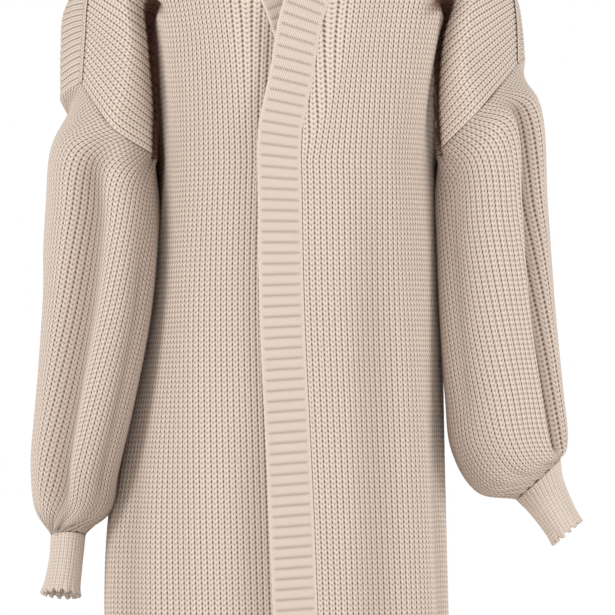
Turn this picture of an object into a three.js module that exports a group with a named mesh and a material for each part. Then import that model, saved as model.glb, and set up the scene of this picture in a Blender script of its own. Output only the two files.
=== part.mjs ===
import * as THREE from "three";

// Long open cardigan in a chunky ribbed knit, filled out as worn. Sizes are in millimetres.
// X runs across the front, Y from front to back and Z up, and the origin lies between the two
// points where the shoulder seams meet the neck.

const WALL = 4; // cloth, from the top of a rib to the plain inside
const RIB_DEPTH = 1.3; // how far a groove lies under the ribs beside it
const SEAM_GAP = 0.4; // clearance between two pieces that are sewn together
const BAND_GAP = 0.7; // the same beside the band, measured along the band's width
const LAP = 9; // how far the overlapping front lies before the front under it
const LAP_FADE = { x: 30, across: 80, z: -30, down: 40 };
const RIB_PITCH = 6.1; // one rib of the body knit to the next

const FRONT_RIBS = 45;
const BACK_RIBS = 90;
const NECK_RIB = 39; // the rib, counted from the armhole, that reaches the side of the neck
const SLEEVE_FRONT_RIBS = 40;
const SLEEVE_BACK_RIBS = 30;
const CUFF_RIBS = 30;
const CUFF_SCALLOPS = 15;
const CUFF_SCALLOP_DEPTH = 1.3;
const BAND_RIB_ROW = 5.5; // half of the pitch of the band's cross ribs
const BAND_RIB_DEPTH = 1;
const INSIDE_RIBS = 3; // ribs between two columns of the plain inside
const FINE_RIBS = 12; // ribs beside a front's armhole that each have a column inside

// The body from hem to underarm. left and right are its widest points, which lie at depth wide,
// and seam is the depth of the side seams.
const BODY_SECTIONS = [
  { z: -1080, left: -164, right: 170, wide: 0, front: -134, back: 132, seam: 60 },
  { z: -650, left: -183, right: 159.5, wide: 10, front: -133, back: 130, seam: 52 },
  { z: -410, left: -138, right: 152.5, wide: 26, front: -127, back: 118, seam: 22 },
  { z: -286, left: -130, right: 147, wide: 36, front: -121, back: 109, seam: -3 },
  { z: -272, left: -130, right: 147, wide: 36, front: -120, back: 108, seam: -5 },
];
// By the same heights: where each front meets its band, the depth of the back's hanging folds,
// and how far the cloth turns out under the arm.
const BODY_DETAILS = [
  { z: -1080, leftEdge: 2, rightEdge: 42, folds: 9, lip: 0 },
  { z: -650, leftEdge: -14, rightEdge: 27, folds: 8, lip: 0 },
  { z: -410, leftEdge: -20, rightEdge: 16, folds: 3, lip: 0 },
  { z: -286, leftEdge: -17.5, rightEdge: 13.5, folds: 0, lip: 0 },
  { z: -272, leftEdge: -17, rightEdge: 13, folds: 0, lip: 5 },
];
const LIP_RIBS = 7; // ribs from the side seam over which the turned-out edge fades
const UNDERARM_TURN = 1.5; // how far the armhole's rim is turned down under the arm
const SECTION_POWER = 2.4; // 2 is an ellipse, and more is squarer
const BACK_FOLD_WIDTH = 96;
const EVEN_RIBS = 16; // ribs beside the band that keep their full pitch
const SQUEEZE_POWER = 1.25; // how fast the others crowd towards the side seam
const BACK_FOLD_FADE = 24; // ribs over which the back's folds fade out towards a side seam

// The shoulder seam, from the sleeve's top to the neck, by rib counted from the armhole.
const SHOULDER_SEAM = {
  left: [
    { rib: 0, x: -208, y: -40, z: -192 },
    { rib: 7, x: -205, y: -36, z: -145 },
    { rib: 13, x: -203, y: -32, z: -112 },
    { rib: 18, x: -196, y: -25, z: -80 },
    { rib: 24, x: -170, y: -10, z: -48 },
    { rib: 30, x: -134, y: -2, z: -28 },
    { rib: NECK_RIB, x: -88, y: 2, z: -6 },
  ],
  right: [
    { rib: 0, x: 232, y: -8, z: -172 },
    { rib: 7, x: 231, y: -4, z: -130 },
    { rib: 13, x: 226, y: 0, z: -98 },
    { rib: 18, x: 212, y: 0, z: -72 },
    { rib: 24, x: 176, y: 0, z: -46 },
    { rib: 30, x: 136, y: 1, z: -28 },
    { rib: NECK_RIB, x: 88, y: 2, z: -6 },
  ],
};

// The slanted neck edge of each front, from the side of the neck to the straight front edge.
const FRONT_NECK = {
  left: [
    { rib: NECK_RIB, x: -88, y: 2, z: -6 },
    { rib: 40.5, x: -64, y: -72, z: -50 },
    { rib: 42, x: -36, y: -98, z: -94 },
    { rib: 43.5, x: -22, y: -107, z: -124 },
    { rib: FRONT_RIBS, x: -12, y: -112, z: -155 },
  ],
  right: [
    { rib: NECK_RIB, x: 88, y: 2, z: -6 },
    { rib: 40.5, x: 66, y: -75, z: -50 },
    { rib: 42, x: 36, y: -110, z: -128 },
    { rib: 43.5, x: 25, y: -116, z: -190 },
    { rib: FRONT_RIBS, x: 14, y: -119, z: -241 },
  ],
};
const BACK_NECK = [
  { rib: NECK_RIB, x: -88, y: 2, z: -6 },
  { rib: 42, x: -52, y: 38, z: -17 },
  { rib: 45, x: 0, y: 54, z: -22 },
  { rib: 48, x: 52, y: 38, z: -17 },
  { rib: BACK_RIBS - NECK_RIB, x: 88, y: 2, z: -6 },
];

// Between underarm and shoulder every rib passes a lower and an upper point. On a front the
// lower one lies in the fold beside the armpit and the upper one on the swell over the arm.
const FRONT_YOKE = {
  left: [
    { rib: 0, lowX: -131, lowY: -46, lowZ: -267, upX: -175, upY: -80, upZ: -239 },
    { rib: 7, lowX: -131, lowY: -38, lowZ: -222, upX: -162, upY: -83, upZ: -192 },
    { rib: 13, lowX: -135, lowY: -40, lowZ: -168, upX: -158, upY: -80, upZ: -146 },
    { rib: 18, lowX: -137, lowY: -54, lowZ: -122, upX: -164, upY: -70, upZ: -98 },
    { rib: 24, lowX: -126, lowY: -84, lowZ: -118, upX: -148, upY: -66, upZ: -62 },
    { rib: 30, lowX: -102, lowY: -103, lowZ: -132, upX: -118, upY: -76, upZ: -58 },
    { rib: NECK_RIB, lowX: -58, lowY: -114, lowZ: -168, upX: -68, upY: -98, upZ: -86 },
    { rib: 42, lowX: -36, lowY: -118, lowZ: -212, upX: -36, upY: -113, upZ: -150 },
    { rib: FRONT_RIBS, lowX: -16, lowY: -119, lowZ: -235, upX: -13, upY: -117, upZ: -195 },
  ],
  right: [
    { rib: 0, lowX: 149, lowY: -46, lowZ: -263, upX: 188, upY: -76, upZ: -224 },
    { rib: 7, lowX: 147, lowY: -42, lowZ: -216, upX: 172, upY: -76, upZ: -182 },
    { rib: 13, lowX: 150, lowY: -46, lowZ: -156, upX: 180, upY: -72, upZ: -126 },
    { rib: 18, lowX: 160, lowY: -56, lowZ: -116, upX: 186, upY: -60, upZ: -84 },
    { rib: 24, lowX: 140, lowY: -84, lowZ: -118, upX: 158, upY: -64, upZ: -60 },
    { rib: 30, lowX: 108, lowY: -103, lowZ: -132, upX: 122, upY: -76, upZ: -58 },
    { rib: NECK_RIB, lowX: 60, lowY: -114, lowZ: -172, upX: 70, upY: -98, upZ: -88 },
    { rib: 42, lowX: 38, lowY: -117, lowZ: -220, upX: 37, upY: -114, upZ: -174 },
    { rib: FRONT_RIBS, lowX: 13, lowY: -120, lowZ: -262, upX: 13.5, upY: -120, upZ: -252 },
  ],
};
const BACK_YOKE = [
  { rib: 0, lowX: -180, lowY: 62, lowZ: -248, upX: -223, upY: 16, upZ: -210 },
  { rib: 7, lowX: -176, lowY: 84, lowZ: -205, upX: -226, upY: 28, upZ: -160 },
  { rib: 13, lowX: -168, lowY: 92, lowZ: -172, upX: -222, upY: 34, upZ: -120 },
  { rib: 18, lowX: -156, lowY: 97, lowZ: -152, upX: -204, upY: 46, upZ: -88 },
  { rib: 24, lowX: -134, lowY: 102, lowZ: -142, upX: -166, upY: 62, upZ: -66 },
  { rib: 30, lowX: -104, lowY: 105, lowZ: -140, upX: -124, upY: 70, upZ: -60 },
  { rib: 45, lowX: 0, lowY: 110, lowZ: -145, upX: 0, upY: 84, upZ: -64 },
  { rib: 60, lowX: 104, lowY: 105, lowZ: -140, upX: 126, upY: 70, upZ: -60 },
  { rib: 66, lowX: 136, lowY: 102, lowZ: -142, upX: 170, upY: 62, upZ: -66 },
  { rib: 72, lowX: 160, lowY: 98, lowZ: -150, upX: 210, upY: 50, upZ: -86 },
  { rib: 77, lowX: 176, lowY: 92, lowZ: -166, upX: 229, upY: 40, upZ: -112 },
  { rib: 83, lowX: 186, lowY: 86, lowZ: -192, upX: 235, upY: 38, upZ: -138 },
  { rib: BACK_RIBS, lowX: 194, lowY: 74, lowZ: -226, upX: 238, upY: 36, upZ: -168 },
];
const YOKE_EDGES = 5; // rows of cloth between underarm and shoulder seam

// Each sleeve below the armhole, by rings that slope from their outer to their inner point.
// tilt turns a ring forwards, so that its front edge lies higher, and shear brings its inner
// point forwards, over the body's side.
const SLEEVE_RINGS = {
  left: [
    { outerX: -232, outerZ: -254, innerX: -129, innerZ: -306, front: -82, back: 60, tilt: 0, shear: 10 },
    { outerX: -240, outerZ: -322, innerX: -130, innerZ: -356, front: -84, back: 50, tilt: 0, shear: 28 },
    { outerX: -245, outerZ: -412, innerX: -137, innerZ: -428, front: -84, back: 46, tilt: 0, shear: 38 },
    { outerX: -251, outerZ: -500, innerX: -152.5, innerZ: -510, front: -84, back: 44, tilt: 0, shear: 44 },
    { outerX: -256, outerZ: -575, innerX: -169, innerZ: -582, front: -82, back: 42, tilt: 0, shear: 34 },
    { outerX: -251, outerZ: -620, innerX: -177, innerZ: -622, front: -72, back: 30, tilt: 0, shear: 15 },
    { outerX: -238, outerZ: -646, innerX: -203, innerZ: -646, front: -50, back: 2, tilt: 4, shear: 0 },
  ],
  right: [
    { outerX: 251, outerZ: -212, innerX: 147, innerZ: -302, front: -72, back: 78, tilt: 0, shear: 15 },
    { outerX: 262, outerZ: -318, innerX: 148.5, innerZ: -354, front: -66, back: 76, tilt: 0, shear: 30 },
    { outerX: 269, outerZ: -412, innerX: 151.5, innerZ: -430, front: -64, back: 74, tilt: 0, shear: 40 },
    { outerX: 277, outerZ: -496, innerX: 157, innerZ: -506, front: -64, back: 72, tilt: 0, shear: 40 },
    { outerX: 282, outerZ: -548, innerX: 164, innerZ: -562, front: -62, back: 68, tilt: 0, shear: 30 },
    { outerX: 280, outerZ: -562, innerX: 190, innerZ: -604, front: -50, back: 56, tilt: 0, shear: 15 },
    { outerX: 274, outerZ: -570, innerX: 229, innerZ: -611, front: -24, back: 30, tilt: 0, shear: 0 },
  ],
};
const CUFF_RINGS = {
  left: [
    { outerX: -240, outerZ: -672, innerX: -206, innerZ: -674, front: -49, back: 0, tilt: 6, shear: 0 },
    { outerX: -247, outerZ: -703, innerX: -209, innerZ: -706, front: -50, back: -2, tilt: 8, shear: 0 },
  ],
  right: [
    { outerX: 277, outerZ: -590, innerX: 243, innerZ: -625, front: -22, back: 26, tilt: 0, shear: 0 },
    { outerX: 294, outerZ: -631, innerX: 266, innerZ: -655, front: -24, back: 24, tilt: 0, shear: 0 },
  ],
};
const DEEP_FOLD = 15;
const SLEEVE_POWER = 2.2;
const CUFF_POWER = 2;

// Folds that run down a sleeve: rib is counted from the underarm over the front, and drift is
// how many ribs the fold moves on its way down. start and end are shares of the sleeve.
const SLEEVE_FOLDS = {
  left: [
    { rib: 23, drift: -6, width: 6, depth: 13, start: 0.03, end: 0.97 },
    { rib: 44, drift: 3, width: 8, depth: 9, start: 0.15, end: 0.9 },
    { rib: 57, drift: -2, width: 7, depth: 8, start: 0.2, end: 0.85 },
  ],
  right: [
    { rib: 27, drift: 0, width: 4, depth: 22, start: 0.03, end: 0.98 },
    { rib: 19, drift: -7, width: 7, depth: 5, start: 0.1, end: 0.75 },
    { rib: 50, drift: 4, width: 8, depth: 9, start: 0.15, end: 0.9 },
  ],
};

// Long soft troughs down the fronts, by rib counted from the side seam, from top to the hem.
const FRONT_FOLDS = {
  left: [
    { rib: 41, width: 6, depth: 4, top: -560 },
    { rib: 20, width: 7, depth: 6, top: -560 },
  ],
  right: [
    { rib: 34, width: 6, depth: 4, top: -330 },
    { rib: 18, width: 7, depth: 6, top: -560 },
  ],
};

// How the band lies beside the front's edge: its width as a step, by distance up from the hem.
const BAND_STEPS = {
  left: [
    { up: 0, x: 44, y: 0.5, z: 0 },
    { up: 850, x: 44, y: 0.5, z: 2 },
    { up: 930, x: 42, y: 2, z: 10 },
    { up: 1000, x: 37, y: 6, z: 22 },
    { up: 1060, x: 32, y: 8, z: 29 },
    { up: 1140, x: 28, y: 4, z: 33 },
  ],
  right: [
    { up: 0, x: -44, y: -1, z: 0 },
    { up: 760, x: -44, y: -1, z: 1 },
    { up: 850, x: -43, y: -2, z: 8 },
    { up: 950, x: -41, y: -2, z: 15 },
    { up: 1060, x: -32, y: 6, z: 29 },
    { up: 1140, x: -28, y: 4, z: 33 },
  ],
};
const BACK_NECK_STEP = { x: 0, y: -14, z: 40 };

// Values between a table's rows

function slope(a, b, key, column) {
  return (b[column] - a[column]) / (b[key] - a[key]);
}

function read(table, key, at, column) {
  const rising = table[1][key] > table[0][key];
  let i = 0;
  while (i < table.length - 2 && (rising ? at > table[i + 1][key] : at < table[i + 1][key])) i++;
  const a = table[i];
  const b = table[i + 1];
  const span = b[key] - a[key];
  const t = (at - a[key]) / span;
  const chord = slope(a, b, key, column);
  const startSlope = i > 0 ? (slope(table[i - 1], a, key, column) + chord) / 2 : chord;
  const endSlope = i < table.length - 2 ? (chord + slope(b, table[i + 2], key, column)) / 2 : chord;
  const t2 = t * t;
  const t3 = t2 * t;
  return (
    (2 * t3 - 3 * t2 + 1) * a[column] +
    (t3 - 2 * t2 + t) * span * startSlope +
    (3 * t2 - 2 * t3) * b[column] +
    (t3 - t2) * span * endSlope
  );
}

function readPoint(table, key, at, columns = ["x", "y", "z"]) {
  return new THREE.Vector3(...columns.map((column) => read(table, key, at, column)));
}

function ease(t) {
  const c = Math.min(1, Math.max(0, t));
  return c * c * (3 - 2 * c);
}

function hump(distance, width) {
  return Math.abs(distance) < width ? 0.5 + 0.5 * Math.cos((Math.PI * distance) / width) : 0;
}

// Closed outlines, walked by distance

function roundOutline(reach, power, steps = 48) {
  const points = [];
  for (let i = 0; i <= steps; i++) {
    const angle = (Math.PI * i) / steps;
    const s = Math.sin(angle) ** (2 / power);
    const c = Math.sign(Math.cos(angle)) * Math.abs(Math.cos(angle)) ** (2 / power);
    points.push({ out: s, ahead: c, ...reach(s, c) });
  }
  points[0].walked = 0;
  for (let i = 1; i <= steps; i++) {
    const a = points[i - 1];
    const b = points[i];
    b.walked = a.walked + Math.hypot(b.x - a.x, b.y - a.y);
  }
  return points;
}

function atDistance(points, walked) {
  let i = 0;
  while (i < points.length - 2 && points[i + 1].walked < walked) i++;
  const a = points[i];
  const b = points[i + 1];
  const t = (walked - a.walked) / (b.walked - a.walked);
  return new THREE.Vector2(a.x + t * (b.x - a.x), a.y + t * (b.y - a.y));
}

function distanceWhere(points, reached) {
  const i = points.findIndex((point, n) => n > 0 && reached(point));
  return points[i].walked;
}

// The body's half section on one side, from the middle of the front to the middle of the back.
function halfBody(section, side) {
  const middle = (section.left + section.right) / 2;
  const reach = side === "left" ? section.left - middle : section.right - middle;
  return roundOutline(
    (out, ahead) => ({
      x: middle + reach * out,
      y: section.wide + Math.abs(ahead) * ((ahead > 0 ? section.front : section.back) - section.wide),
    }),
    SECTION_POWER,
  );
}

// How far out a point of the underarm's edge is turned.
function turnedOut(detail, side, fromSeam) {
  return (side === "left" ? -1 : 1) * detail.lip * (1 - ease(fromSeam / LIP_RIBS));
}

function frontRow(row, side, rib) {
  const section = BODY_SECTIONS[row];
  const detail = BODY_DETAILS[row];
  const outline = halfBody(section, side);
  const edge = side === "left" ? detail.leftEdge : detail.rightEdge;
  const sign = side === "left" ? -1 : 1;
  const middle = (section.left + section.right) / 2;
  const start = Math.max(0, sign * (edge - middle));
  const whole = distanceWhere(outline, (p) => p.y > section.seam) - start;
  const count = FRONT_RIBS - rib;
  const squeeze = (RIB_PITCH * FRONT_RIBS - whole) / (FRONT_RIBS - EVEN_RIBS) ** SQUEEZE_POWER;
  const walked = RIB_PITCH * count - squeeze * Math.max(0, count - EVEN_RIBS) ** SQUEEZE_POWER;
  const at = atDistance(outline, start + walked);
  if (sign * (edge - middle) < 0) at.x += (edge - middle) * ((FRONT_RIBS - count) / FRONT_RIBS);
  const point = new THREE.Vector3(at.x + turnedOut(detail, side, rib), at.y, section.z);
  for (const fold of FRONT_FOLDS[side]) {
    const strength = ease((fold.top - section.z) / 80) * hump(rib - fold.rib, fold.width);
    point.y += fold.depth * strength;
  }
  return point;
}

function backRow(row, rib) {
  const section = BODY_SECTIONS[row];
  const detail = BODY_DETAILS[row];
  const side = rib < BACK_RIBS / 2 ? "left" : "right";
  const outline = halfBody(section, side);
  const seam = distanceWhere(outline, (p) => p.y > section.seam);
  const whole = outline[outline.length - 1].walked;
  const fromMiddle = Math.abs(rib - BACK_RIBS / 2) / (BACK_RIBS / 2);
  const walked = whole - (whole - seam) * fromMiddle;
  const at = atDistance(outline, walked);
  const fromSeam = Math.min(rib, BACK_RIBS - rib);
  const across = (whole - walked) * (side === "left" ? -1 : 1);
  const wave = 0.5 - 0.5 * Math.cos((2 * Math.PI * across) / BACK_FOLD_WIDTH);
  const fold = detail.folds * wave * ease(fromSeam / BACK_FOLD_FADE);
  return new THREE.Vector3(at.x + turnedOut(detail, side, fromSeam), at.y - fold, section.z);
}

function lapOver(point) {
  const across = 1 - ease((point.x - LAP_FADE.x) / LAP_FADE.across);
  const down = ease((LAP_FADE.z - point.z) / LAP_FADE.down);
  return new THREE.Vector3(0, -LAP * across * down, 0);
}

// A rib's points from the underarm to the shoulder or neck, evened out by a curve. The first one
// lies straight between its neighbours under the arm.
function yokeColumn(under, below, low, up, top, fromSeam) {
  const curve = new THREE.CatmullRomCurve3([below, under, low, up, top], false, "centripetal");
  const marks = [1.6 / 4, 2 / 4, 3 / 4, 3.5 / 4, 1];
  const column = marks.map((mark) => curve.getPoint(mark));
  column[0].lerp(under.clone().lerp(low, 0.55), 1 - ease((fromSeam - LIP_RIBS) / LIP_RIBS));
  return column;
}

function panelPoints(ribs, rowAt, seamDistance, yoke, topAt) {
  const columns = [];
  for (let c = 0; c <= 2 * ribs; c++) {
    const rib = c / 2;
    const lower = BODY_SECTIONS.map((_, row) => rowAt(row, rib));
    const low = readPoint(yoke, "rib", rib, ["lowX", "lowY", "lowZ"]);
    const up = readPoint(yoke, "rib", rib, ["upX", "upY", "upZ"]);
    const [below, under] = lower.slice(-2);
    columns.push([...lower, ...yokeColumn(under, below, low, up, topAt(rib), seamDistance(rib))]);
  }
  return columns[0].map((_, row) => columns.map((column) => column[row]));
}

// A sewn top edge runs straight between some of its ribs, as the edge of its neighbour does.
function straightened(curve, stepAt) {
  return (rib) => {
    const step = stepAt(rib);
    const from = Math.floor(rib / step) * step;
    return from === rib ? curve(rib) : curve(from).lerp(curve(from + step), (rib - from) / step);
  };
}

function frontPoints(side) {
  const top = straightened(
    (rib) =>
      rib <= NECK_RIB
        ? readPoint(SHOULDER_SEAM[side], "rib", rib)
        : readPoint(FRONT_NECK[side], "rib", rib),
    (rib) => (rib < NECK_RIB ? INSIDE_RIBS : 1),
  );
  const rowAt = (row, rib) => frontRow(row, side, rib);
  const rows = panelPoints(FRONT_RIBS, rowAt, (rib) => rib, FRONT_YOKE[side], top);
  if (side === "right") rows.flat().forEach((point) => point.add(lapOver(point)));
  return rows;
}

function backPoints() {
  const top = straightened(
    (rib) => {
      if (rib <= NECK_RIB) return readPoint(SHOULDER_SEAM.left, "rib", rib);
      if (rib >= BACK_RIBS - NECK_RIB) return readPoint(SHOULDER_SEAM.right, "rib", BACK_RIBS - rib);
      return readPoint(BACK_NECK, "rib", rib);
    },
    () => INSIDE_RIBS,
  );
  const fromSeam = (rib) => Math.min(rib, BACK_RIBS - rib);
  return panelPoints(BACK_RIBS, backRow, fromSeam, BACK_YOKE, top);
}

// Directions that stand on a grid of points

function gridNormals(points, closed, sign) {
  const rows = points.length;
  const count = points[0].length;
  const wrap = closed ? count - 1 : count;
  return points.map((row, i) =>
    row.map((_, j) => {
      const before = closed ? row[(j - 1 + wrap) % wrap] : row[Math.max(0, j - 1)];
      const after = closed ? row[(j + 1) % wrap] : row[Math.min(count - 1, j + 1)];
      const below = points[Math.max(0, i - 1)][j];
      const above = points[Math.min(rows - 1, i + 1)][j];
      const across = after.clone().sub(before);
      const along = above.clone().sub(below);
      return across.cross(along).multiplyScalar(sign).normalize();
    }),
  );
}

function shareNormal(normals, i, j, others, k, l) {
  const both = normals[i][j].clone().add(others[k][l]).normalize();
  normals[i][j] = both;
  others[k][l] = both.clone();
}

// The solids: a ribbed outside, a plain inside and the rims that join them

function zip(faces, outer, inner, outerAt, innerAt) {
  let i = 0;
  let j = 0;
  while (i < outer.length - 1 || j < inner.length - 1) {
    const nextOuter = i < outer.length - 1 ? outerAt[i + 1] : Infinity;
    const nextInner = j < inner.length - 1 ? innerAt[j + 1] : Infinity;
    if (nextOuter <= nextInner) {
      faces.push([outer[i], inner[j], outer[i + 1]]);
      i++;
    } else {
      faces.push([outer[i], inner[j], inner[j + 1]]);
      j++;
    }
  }
}

function pick(list, at) {
  return at.map((i) => list[i]);
}

function halfway(a, b) {
  return a.clone().lerp(b, 0.5);
}

// A twisted face is folded along whichever diagonal keeps it clear of the cloth's other side.
function awayFrom(others, corners, positions) {
  const middle = halfway(halfway(others[0], others[2]), halfway(others[1], others[3]));
  const [a, b, c, d] = corners.map((corner) => positions[corner]);
  const isClear = halfway(a, c).distanceTo(middle) >= halfway(b, d).distanceTo(middle);
  return isClear ? corners : [...corners.slice(1), corners[0]];
}

function clothSolid({ name, outside, inside, insideRows, insideColumns, closed, color }) {
  const positions = [];
  const put = (grid) =>
    grid.map((row) => {
      const indices = row.map((point) => positions.push(point) - 1);
      if (closed) indices[indices.length - 1] = indices[0];
      return indices;
    });
  const someOf = (grid) => pick(grid, insideRows).map((row) => pick(row, insideColumns));
  const outer = put(outside);
  const inner = put(someOf(inside));
  const faces = [];
  const sheet = (grid, opposite, flip) => {
    for (let i = 0; i < grid.length - 1; i++) {
      for (let j = 0; j < grid[0].length - 1; j++) {
        const corners = [grid[i][j], grid[i][j + 1], grid[i + 1][j + 1], grid[i + 1][j]];
        const across = [opposite[i][j], opposite[i][j + 1], opposite[i + 1][j + 1], opposite[i + 1][j]];
        const [a, b, c, d] = awayFrom(across, corners, positions);
        faces.push(flip ? [a, c, b] : [a, b, c], flip ? [a, d, c] : [a, c, d]);
      }
    }
  };
  sheet(outer, inside, false);
  sheet(inner, someOf(outside), true);
  const rim = (outerLine, innerLine, outerAt, innerAt, flip) => {
    const strip = [];
    zip(strip, outerLine, innerLine, outerAt, innerAt);
    strip.forEach(([a, b, c]) => faces.push(flip ? [a, c, b] : [a, b, c]));
  };
  const columnsAt = outer[0].map((_, j) => j);
  const rowsAt = outer.map((_, i) => i);
  rim(outer[0], inner[0], columnsAt, insideColumns, false);
  rim(outer.at(-1), inner.at(-1), columnsAt, insideColumns, true);
  if (!closed) {
    const edge = (grid, j) => grid.map((row) => row.at(j));
    rim(edge(outer, 0), edge(inner, 0), rowsAt, insideRows, true);
    rim(edge(outer, -1), edge(inner, -1), rowsAt, insideRows, false);
  }
  const used = new Map();
  const corners = [];
  const index = faces.flat().map((corner) => {
    if (!used.has(corner)) {
      used.set(corner, used.size);
      corners.push(...positions[corner].toArray());
    }
    return used.get(corner);
  });
  if (signedVolume(corners, index) < 0) index.reverse();
  const geometry = new THREE.BufferGeometry();
  geometry.setAttribute("position", new THREE.Float32BufferAttribute(corners, 3));
  geometry.setIndex(index);
  geometry.computeVertexNormals();
  const material = new THREE.MeshStandardMaterial({ color, roughness: 0.95, metalness: 0 });
  const mesh = new THREE.Mesh(geometry, material);
  mesh.name = name;
  return mesh;
}

function signedVolume(corners, index) {
  let volume = 0;
  const at = (n) => new THREE.Vector3(...corners.slice(3 * n, 3 * n + 3));
  for (let i = 0; i < index.length; i += 3) {
    volume += at(index[i]).dot(at(index[i + 1]).cross(at(index[i + 2])));
  }
  return volume / 6;
}

function offset(points, normals, depthAt) {
  const moved = (point, i, j) => point.clone().addScaledVector(normals[i][j], -depthAt(i, j));
  return points.map((row, i) => row.map((point, j) => moved(point, i, j)));
}

function everyFew(count, step) {
  const at = [];
  for (let j = 0; j < count; j += step) at.push(j);
  return [...at, count];
}

function everyRow(points) {
  return points.map((_, i) => i);
}

// A panel's ribs run up its columns: an even column is a groove, and the one after it a ridge.
function panelSolid(name, panel, insideColumns, color) {
  const { points, normals } = panel;
  return clothSolid({
    name,
    outside: offset(points, normals, (i, j) => (j % 2 === 0 ? RIB_DEPTH : 0)),
    inside: offset(points, normals, () => WALL),
    insideRows: everyRow(points),
    insideColumns,
    closed: false,
    color,
  });
}

// The inside of a front follows every rib beside the armhole and along the neck.
function frontInsideColumns() {
  const isKept = (rib) => rib <= FINE_RIBS || rib >= NECK_RIB || rib % INSIDE_RIBS === 0;
  return everyFew(2 * FRONT_RIBS, 2).filter((column) => isKept(column / 2));
}

function step(point, towards, distance) {
  return point.clone().add(towards.clone().sub(point).setLength(distance));
}

// Each sewn edge gives way by half of the gap.
function openSeams(points, edges) {
  const half = SEAM_GAP / 2;
  const top = points.length - 1;
  const last = points[0].length - 1;
  if (edges.includes("start")) {
    points.forEach((row) => row.splice(0, 1, step(row[0], row[1], half)));
  }
  if (edges.includes("end")) {
    points.forEach((row) => row.splice(last, 1, step(row[last], row[last - 1], half)));
  }
  points[top] = points[top].map((point, j) => step(point, points[top - 1][j], half));
}

// The armhole: the edges of front and back joined into one loop, with its middle and its way out

function armhole(front, back, backColumn) {
  const from = BODY_SECTIONS.length - 1;
  const rows = [];
  for (let i = 0; i <= YOKE_EDGES; i++) rows.push(from + i);
  const frontEdge = rows.map((row) => ({ grid: front, row, column: 0 }));
  const backEdge = rows.map((row) => ({ grid: back, row, column: backColumn })).reverse();
  const corners = [...frontEdge, ...backEdge.slice(1)];
  const places = corners.map(({ grid, row, column }) => grid.points[row][column]);
  const middle = new THREE.Vector3();
  places.slice(1).forEach((place) => middle.addScaledVector(place, 1 / (places.length - 1)));
  const wayOut = new THREE.Vector3();
  for (let i = 0; i < places.length - 1; i++) {
    wayOut.add(places[i].clone().sub(middle).cross(places[i + 1].clone().sub(middle)));
  }
  wayOut.normalize();
  if (wayOut.z > 0) wayOut.negate();
  for (const { grid, row, column } of [...frontEdge, ...backEdge]) {
    const out = grid.points[row][column].clone().sub(middle);
    out.addScaledVector(wayOut, -out.dot(wayOut)).normalize();
    out.z += UNDERARM_TURN * Math.min(0, out.z);
    grid.normals[row][column] = out.normalize();
  }
  const normals = corners.map(({ grid, row, column }) => grid.normals[row][column]);
  return { places, normals, wayOut };
}

// Columns of the sleeve between two corners of the armhole: more on the front's longer edges.
function sleeveColumns() {
  const edges = [];
  for (let i = 0; i < YOKE_EDGES; i++) edges.push((2 * SLEEVE_FRONT_RIBS) / YOKE_EDGES);
  for (let i = 0; i < YOKE_EDGES; i++) edges.push((2 * SLEEVE_BACK_RIBS) / YOKE_EDGES);
  return edges;
}

function armholeRing(hole) {
  const points = [];
  const normals = [];
  sleeveColumns().forEach((count, edge) => {
    for (let n = 0; n < count; n++) {
      const t = n / count;
      const point = hole.places[edge].clone().lerp(hole.places[edge + 1], t);
      points.push(point.addScaledVector(hole.wayOut, SEAM_GAP));
      normals.push(hole.normals[edge].clone().lerp(hole.normals[edge + 1], t));
    }
  });
  points.push(points[0].clone());
  normals.push(normals[0].clone());
  return { points, normals };
}

// A ring from its table row: flat, round, and walked evenly from its inner point over the front.
function ringPoints(row, count, power) {
  const outer = new THREE.Vector3(row.outerX, 0, row.outerZ);
  const inner = new THREE.Vector3(row.innerX, 0, row.innerZ);
  const middle = outer.clone().add(inner).multiplyScalar(0.5);
  const across = inner.clone().sub(middle);
  const half = across.length();
  across.normalize();
  const centreY = (row.front + row.back) / 2;
  const depth = (row.back - row.front) / 2;
  const ahead = roundOutline((out, c) => ({ x: half * c, y: -depth * out }), power);
  const behind = roundOutline((out, c) => ({ x: -half * c, y: depth * out }), power);
  const whole = ahead.at(-1).walked + behind.at(-1).walked;
  const points = [];
  for (let j = 0; j <= count; j++) {
    const walked = (whole * (j % count)) / count;
    const first = walked < ahead.at(-1).walked;
    const at = first ? atDistance(ahead, walked) : atDistance(behind, walked - ahead.at(-1).walked);
    const point = middle.clone().addScaledVector(across, at.x);
    point.y = centreY + at.y - (row.shear * at.x) / half;
    point.z -= (row.tilt * at.y) / depth;
    points.push(point);
  }
  return points;
}

function ringAxis(ring) {
  const quarter = Math.floor((ring.length - 1) / 4);
  const a = ring[0].clone().sub(ring[2 * quarter]);
  const b = ring[quarter].clone().sub(ring[3 * quarter]);
  const axis = a.cross(b).normalize();
  return axis.z > 0 ? axis.negate() : axis;
}

function flattenNormals(normals, axis) {
  return normals.map((normal) => normal.clone().addScaledVector(axis, -normal.dot(axis)).normalize());
}

function foldSleeve(points, normals, folds) {
  const last = points.length - 1;
  const ribs = SLEEVE_FRONT_RIBS + SLEEVE_BACK_RIBS;
  return points.map((row, i) =>
    row.map((point, j) => {
      const down = i / last;
      let depth = 0;
      for (const fold of folds) {
        const fade = ease((down - fold.start) / 0.2) * ease((fold.end - down) / 0.15);
        const distance = Math.abs(j / 2 - fold.rib - fold.drift * down);
        depth += fold.depth * fade * hump(Math.min(distance, ribs - distance), fold.width);
      }
      return point.clone().addScaledVector(normals[i][j], -depth);
    }),
  );
}

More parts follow.
